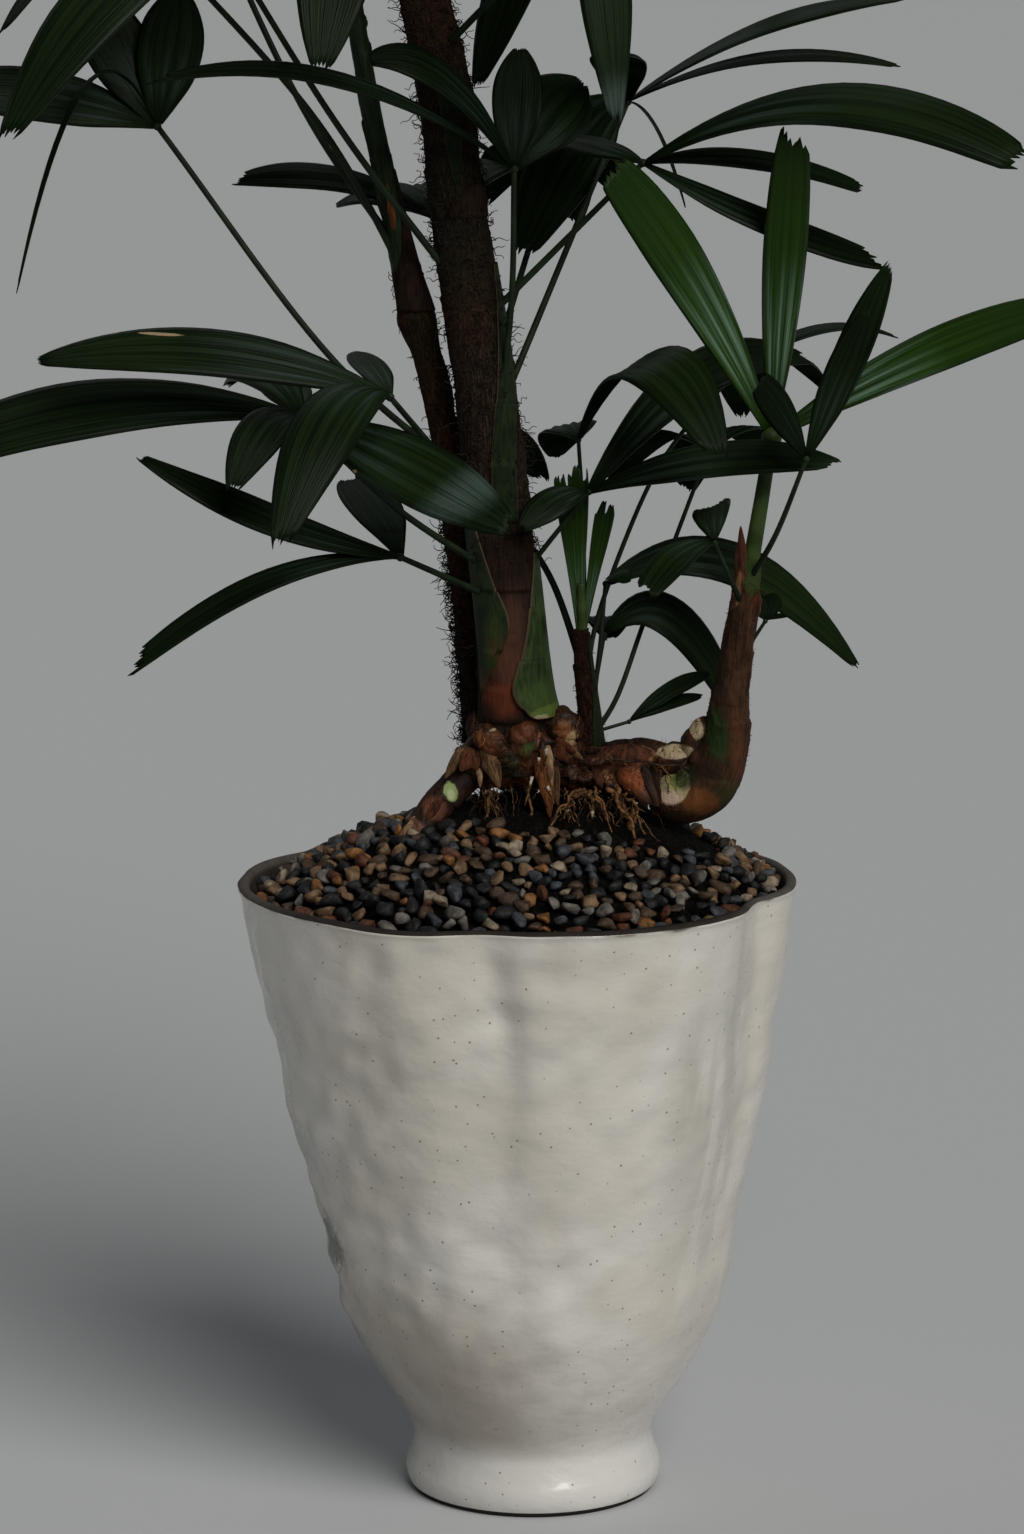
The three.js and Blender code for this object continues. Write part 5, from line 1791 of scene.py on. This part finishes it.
SCARS = [
    [(-145, -68, 483.4), (9, 30, 0.55), -3],
    [(-163, -68, 484.2), (3, 30, 0.7), 8],
    [(-70, -70, 429.7), (0.9, 30, 0.7), 0],
]
SHINES = [
    [(-24, -78, 424), (24, 30, 8), 30],
    [(31, -98, 570), (9, 22, 13), 0],
]
LEAVES = [
    leaf_paint(
        "leaf_deep", rgb(0.0022, 0.0056, 0.0013), rgb(0.0090, 0.0205, 0.0040), rgb(0.026, 0.043, 0.034),
        0.26, 0.09, 0.3, SCARS, SHINES,
    ),
    plain_paint("leaf_underside", rgb(0.0038, 0.0082, 0.0028), rgb(0.0088, 0.0175, 0.0060), 60, 0.6, 0),
    leaf_paint(
        "leaf_young", rgb(0.0065, 0.0225, 0.0008), rgb(0.0230, 0.0580, 0.0026), rgb(0.135, 0.225, 0.155),
        0.24, 0.14, 0.75,
    ),
    plain_paint("young_underside", rgb(0.0120, 0.0310, 0.0050), rgb(0.0230, 0.0510, 0.0090), 60, 0.55, 0.04),
    leaf_paint(
        "leaf_old", rgb(0.0018, 0.0048, 0.0014), rgb(0.0042, 0.0105, 0.0028), rgb(0.007, 0.014, 0.010),
        0.36, 0.06, 0.3,
    ),
    plain_paint("old_underside", rgb(0.0024, 0.0054, 0.0020), rgb(0.0058, 0.0115, 0.0044), 60, 0.6, 0),
]
PETIOLES = [
    plain_paint("petiole_deep", rgb(0.0034, 0.0080, 0.0028), rgb(0.0090, 0.0190, 0.0055), 90, 0.6),
    plain_paint("petiole_young", rgb(0.016, 0.034, 0.006), rgb(0.038, 0.066, 0.013), 90, 0.5),
]
print("leaf paints:", ", ".join(material.name for material in LEAVES))

# %% [markdown]
# A leaflet is pleated along its length like a folded fan. It is made as a narrow grid: the midline is a bow
# from the hub to the tip, the width follows an outline, and every second line of corners is raised to a
# ridge. The tip is cut into teeth, because each pleat ends at a length of its own. A Solidify modifier
# gives the blade its thickness, and its far side takes the underside's paint.

# %% Leaflets
# How far from the hub a leaflet starts, and its pleats and the rows of its grid.
LEAF_ROOT = 1
PLEATS = 6
LEAF_COLUMNS = 2 * PLEATS
LEAF_ROWS = 20
# The share of a leaflet's width along it, and how deep its teeth and pleats are. Most leaflets taper to a
# point, some end bluntly in ragged teeth, and a spear's are still folded up.
POINTED = {
    "width": [
        [0, 0.15], [0.12, 0.46], [0.3, 0.85], [0.5, 1], [0.68, 0.93], [0.84, 0.64], [0.95, 0.30], [1, 0.09],
    ],
    "depth": 1,
}
BLUNT = {
    "width": [
        [0, 0.13], [0.12, 0.40], [0.3, 0.75], [0.55, 1], [0.75, 0.96], [0.88, 0.80], [0.96, 0.58], [1, 0.40],
    ],
    "depth": 1.5,
}
SPEAR = {
    "width": [[0, 0.14], [0.2, 0.24], [0.45, 0.44], [0.7, 0.68], [0.88, 0.74], [1, 0.5]],
    "depth": 4,
}


def add_leaflet(bm, hub, facing, row, slot, chance, outline):
    """One pleated blade. It follows the same midline and faces the same way as the plain solid's."""
    depth = outline["depth"]
    angle, span, rise, arch, width = row
    out = heading(angle)
    tip = hub + (out * span + Vector((0, 0, rise))) * MM
    bend = hub.lerp(tip, 0.5) + Vector((0, 0, 2 * arch * MM))
    start = hub + (bend - hub).normalized() * LEAF_ROOT * MM
    across = out.cross(Vector((0, 0, 1)))
    level = across.cross((tip - hub).normalized())
    roll = math.atan2(facing.dot(across), facing.dot(level))
    teeth = [chance.uniform(0, 0.03) * depth for _ in range(PLEATS + 1)]
    ridges = [chance.uniform(0.12, 0.50) * depth for _ in range(PLEATS + 1)]
    slant = chance.uniform(-0.07, 0.07)
    curl = chance.uniform(-0.15, 0.15)
    phase = chance.uniform(0, 6)
    trough = chance.uniform(-0.10, 0.22)

    def place(u, v):
        column = round(u * LEAF_COLUMNS)
        notch = 0 if column % 2 else 0.018
        cut = 0.01 + notch + teeth[column // 2] + slant * (u - 0.5) + abs(slant) / 2
        share = v * (1 - cut * v**8)
        tangent = (bend - start).lerp(tip - bend, share).normalized()
        point = start.lerp(bend, share).lerp(bend.lerp(tip, share), share)
        side = across.copy()
        side.rotate(Matrix.Rotation(roll + curl * share**2, 3, tangent))
        face = side.cross(tangent)
        breadth = smooth(outline["width"], share) * width / 2
        from_middle = 2 * u - 1
        pleat = ridges[column // 2] * (1 if column % 2 else -1) * min(1, breadth / 8)
        drop = -trough * breadth * from_middle**2
        ripple = 0.025 * breadth * math.sin(9 * share + phase + 2 * u) * abs(from_middle)
        return point + (side * (breadth * from_middle) + face * (pleat + drop + ripple)) * MM

    add_grid(bm, LEAF_COLUMNS, LEAF_ROWS, place, slot)


# A petiole with a radius from this on doesn't widen at its foot.
THICK = 2.5
# How far a closed spear's petiole runs on past its hub.
SPEAR_REACH = 9


def add_petiole(bm, stem, height, via, hub, radius, slot, closed=False):
    """A leaf stalk. Its foot clasps the stem unless it's a thick one, and a closed spear's has no knuckle."""
    end = hub + Vector((0, 0, SPEAR_REACH * MM)) if closed else hub
    path = Path([stem_point(stem, height), *[vec(p) for p in via], end])

    def thickness(share, angle):
        clasp = 1 + 0.9 * math.exp(-share / 0.04) * (radius < THICK)
        groove = 1 - 0.14 * max(0, math.cos(2 * angle))
        slim = 0.72 - 0.2 * share if closed else 1.02 - 0.25 * share
        return radius * slim * clasp * groove * MM

    add_tube(bm, path, thickness, 10, 30, slot)
    if not closed:
        add_ball(bm, 3, 1.15 * radius * MM, Matrix.Translation(hub), slot)


print("leaflets have", LEAF_COLUMNS * LEAF_ROWS, "faces on each side")

# %% [markdown]
# Now each frond's leaflets and petiole are made from its row. All the leaflets of a spray are one piece,
# which stands for the plain fronds, and all the petioles are another, because they need no thickness.

# %% Sprays of fronds
# A closed spear's leaflets part this far below its hub.
SPEAR_DROP = 18
# The radius of most petioles.
PETIOLE = 1.5


def make_spray(name, fronds, petioles, chance):
    """All the leaflets of some fronds as one piece. Their petioles are added to the petioles' bmesh."""
    bm = bmesh.new()
    for frond in fronds.values():
        hub = vec(frond["hub"])
        closed = frond.get("closed", False)
        drop = SPEAR_DROP if closed else 0
        kind = frond.get("kind", DEEP)
        turn, tip = frond["facing"]
        for number, (angle, span, rise, arch, *own) in enumerate(frond["leaves"]):
            width, own_tip = (own + [frond["width"], tip][len(own):])[:2]
            lean = math.radians(own_tip)
            facing = Vector((0, 0, math.cos(lean))) + heading(turn) * math.sin(lean)
            row = (angle, span, rise + drop, arch, width)
            slot = OLD if number in frond.get("old", []) else kind
            blunt = number in frond.get("blunt", []) or kind == YOUNG
            outline = SPEAR if closed else BLUNT if blunt else POINTED
            add_leaflet(bm, hub - Vector((0, 0, drop * MM)), facing, row, slot, chance, outline)
        via, radius = frond.get("via", []), frond.get("petiole", PETIOLE)
        slot = 1 if kind == YOUNG else 0
        add_petiole(petioles, frond["stem"], frond["height"], via, hub, radius, slot, closed)
    piece = finish_piece(name, bm, LEAVES, list(fronds))
    thicken(piece, 0.5, 0).material_offset = 1


petioles = bmesh.new()
chance = random.Random(5)
for name, fronds in SPRAYS.items():
    make_spray(name, fronds, petioles, chance)
finish_piece("petioles", petioles, PETIOLES, [])
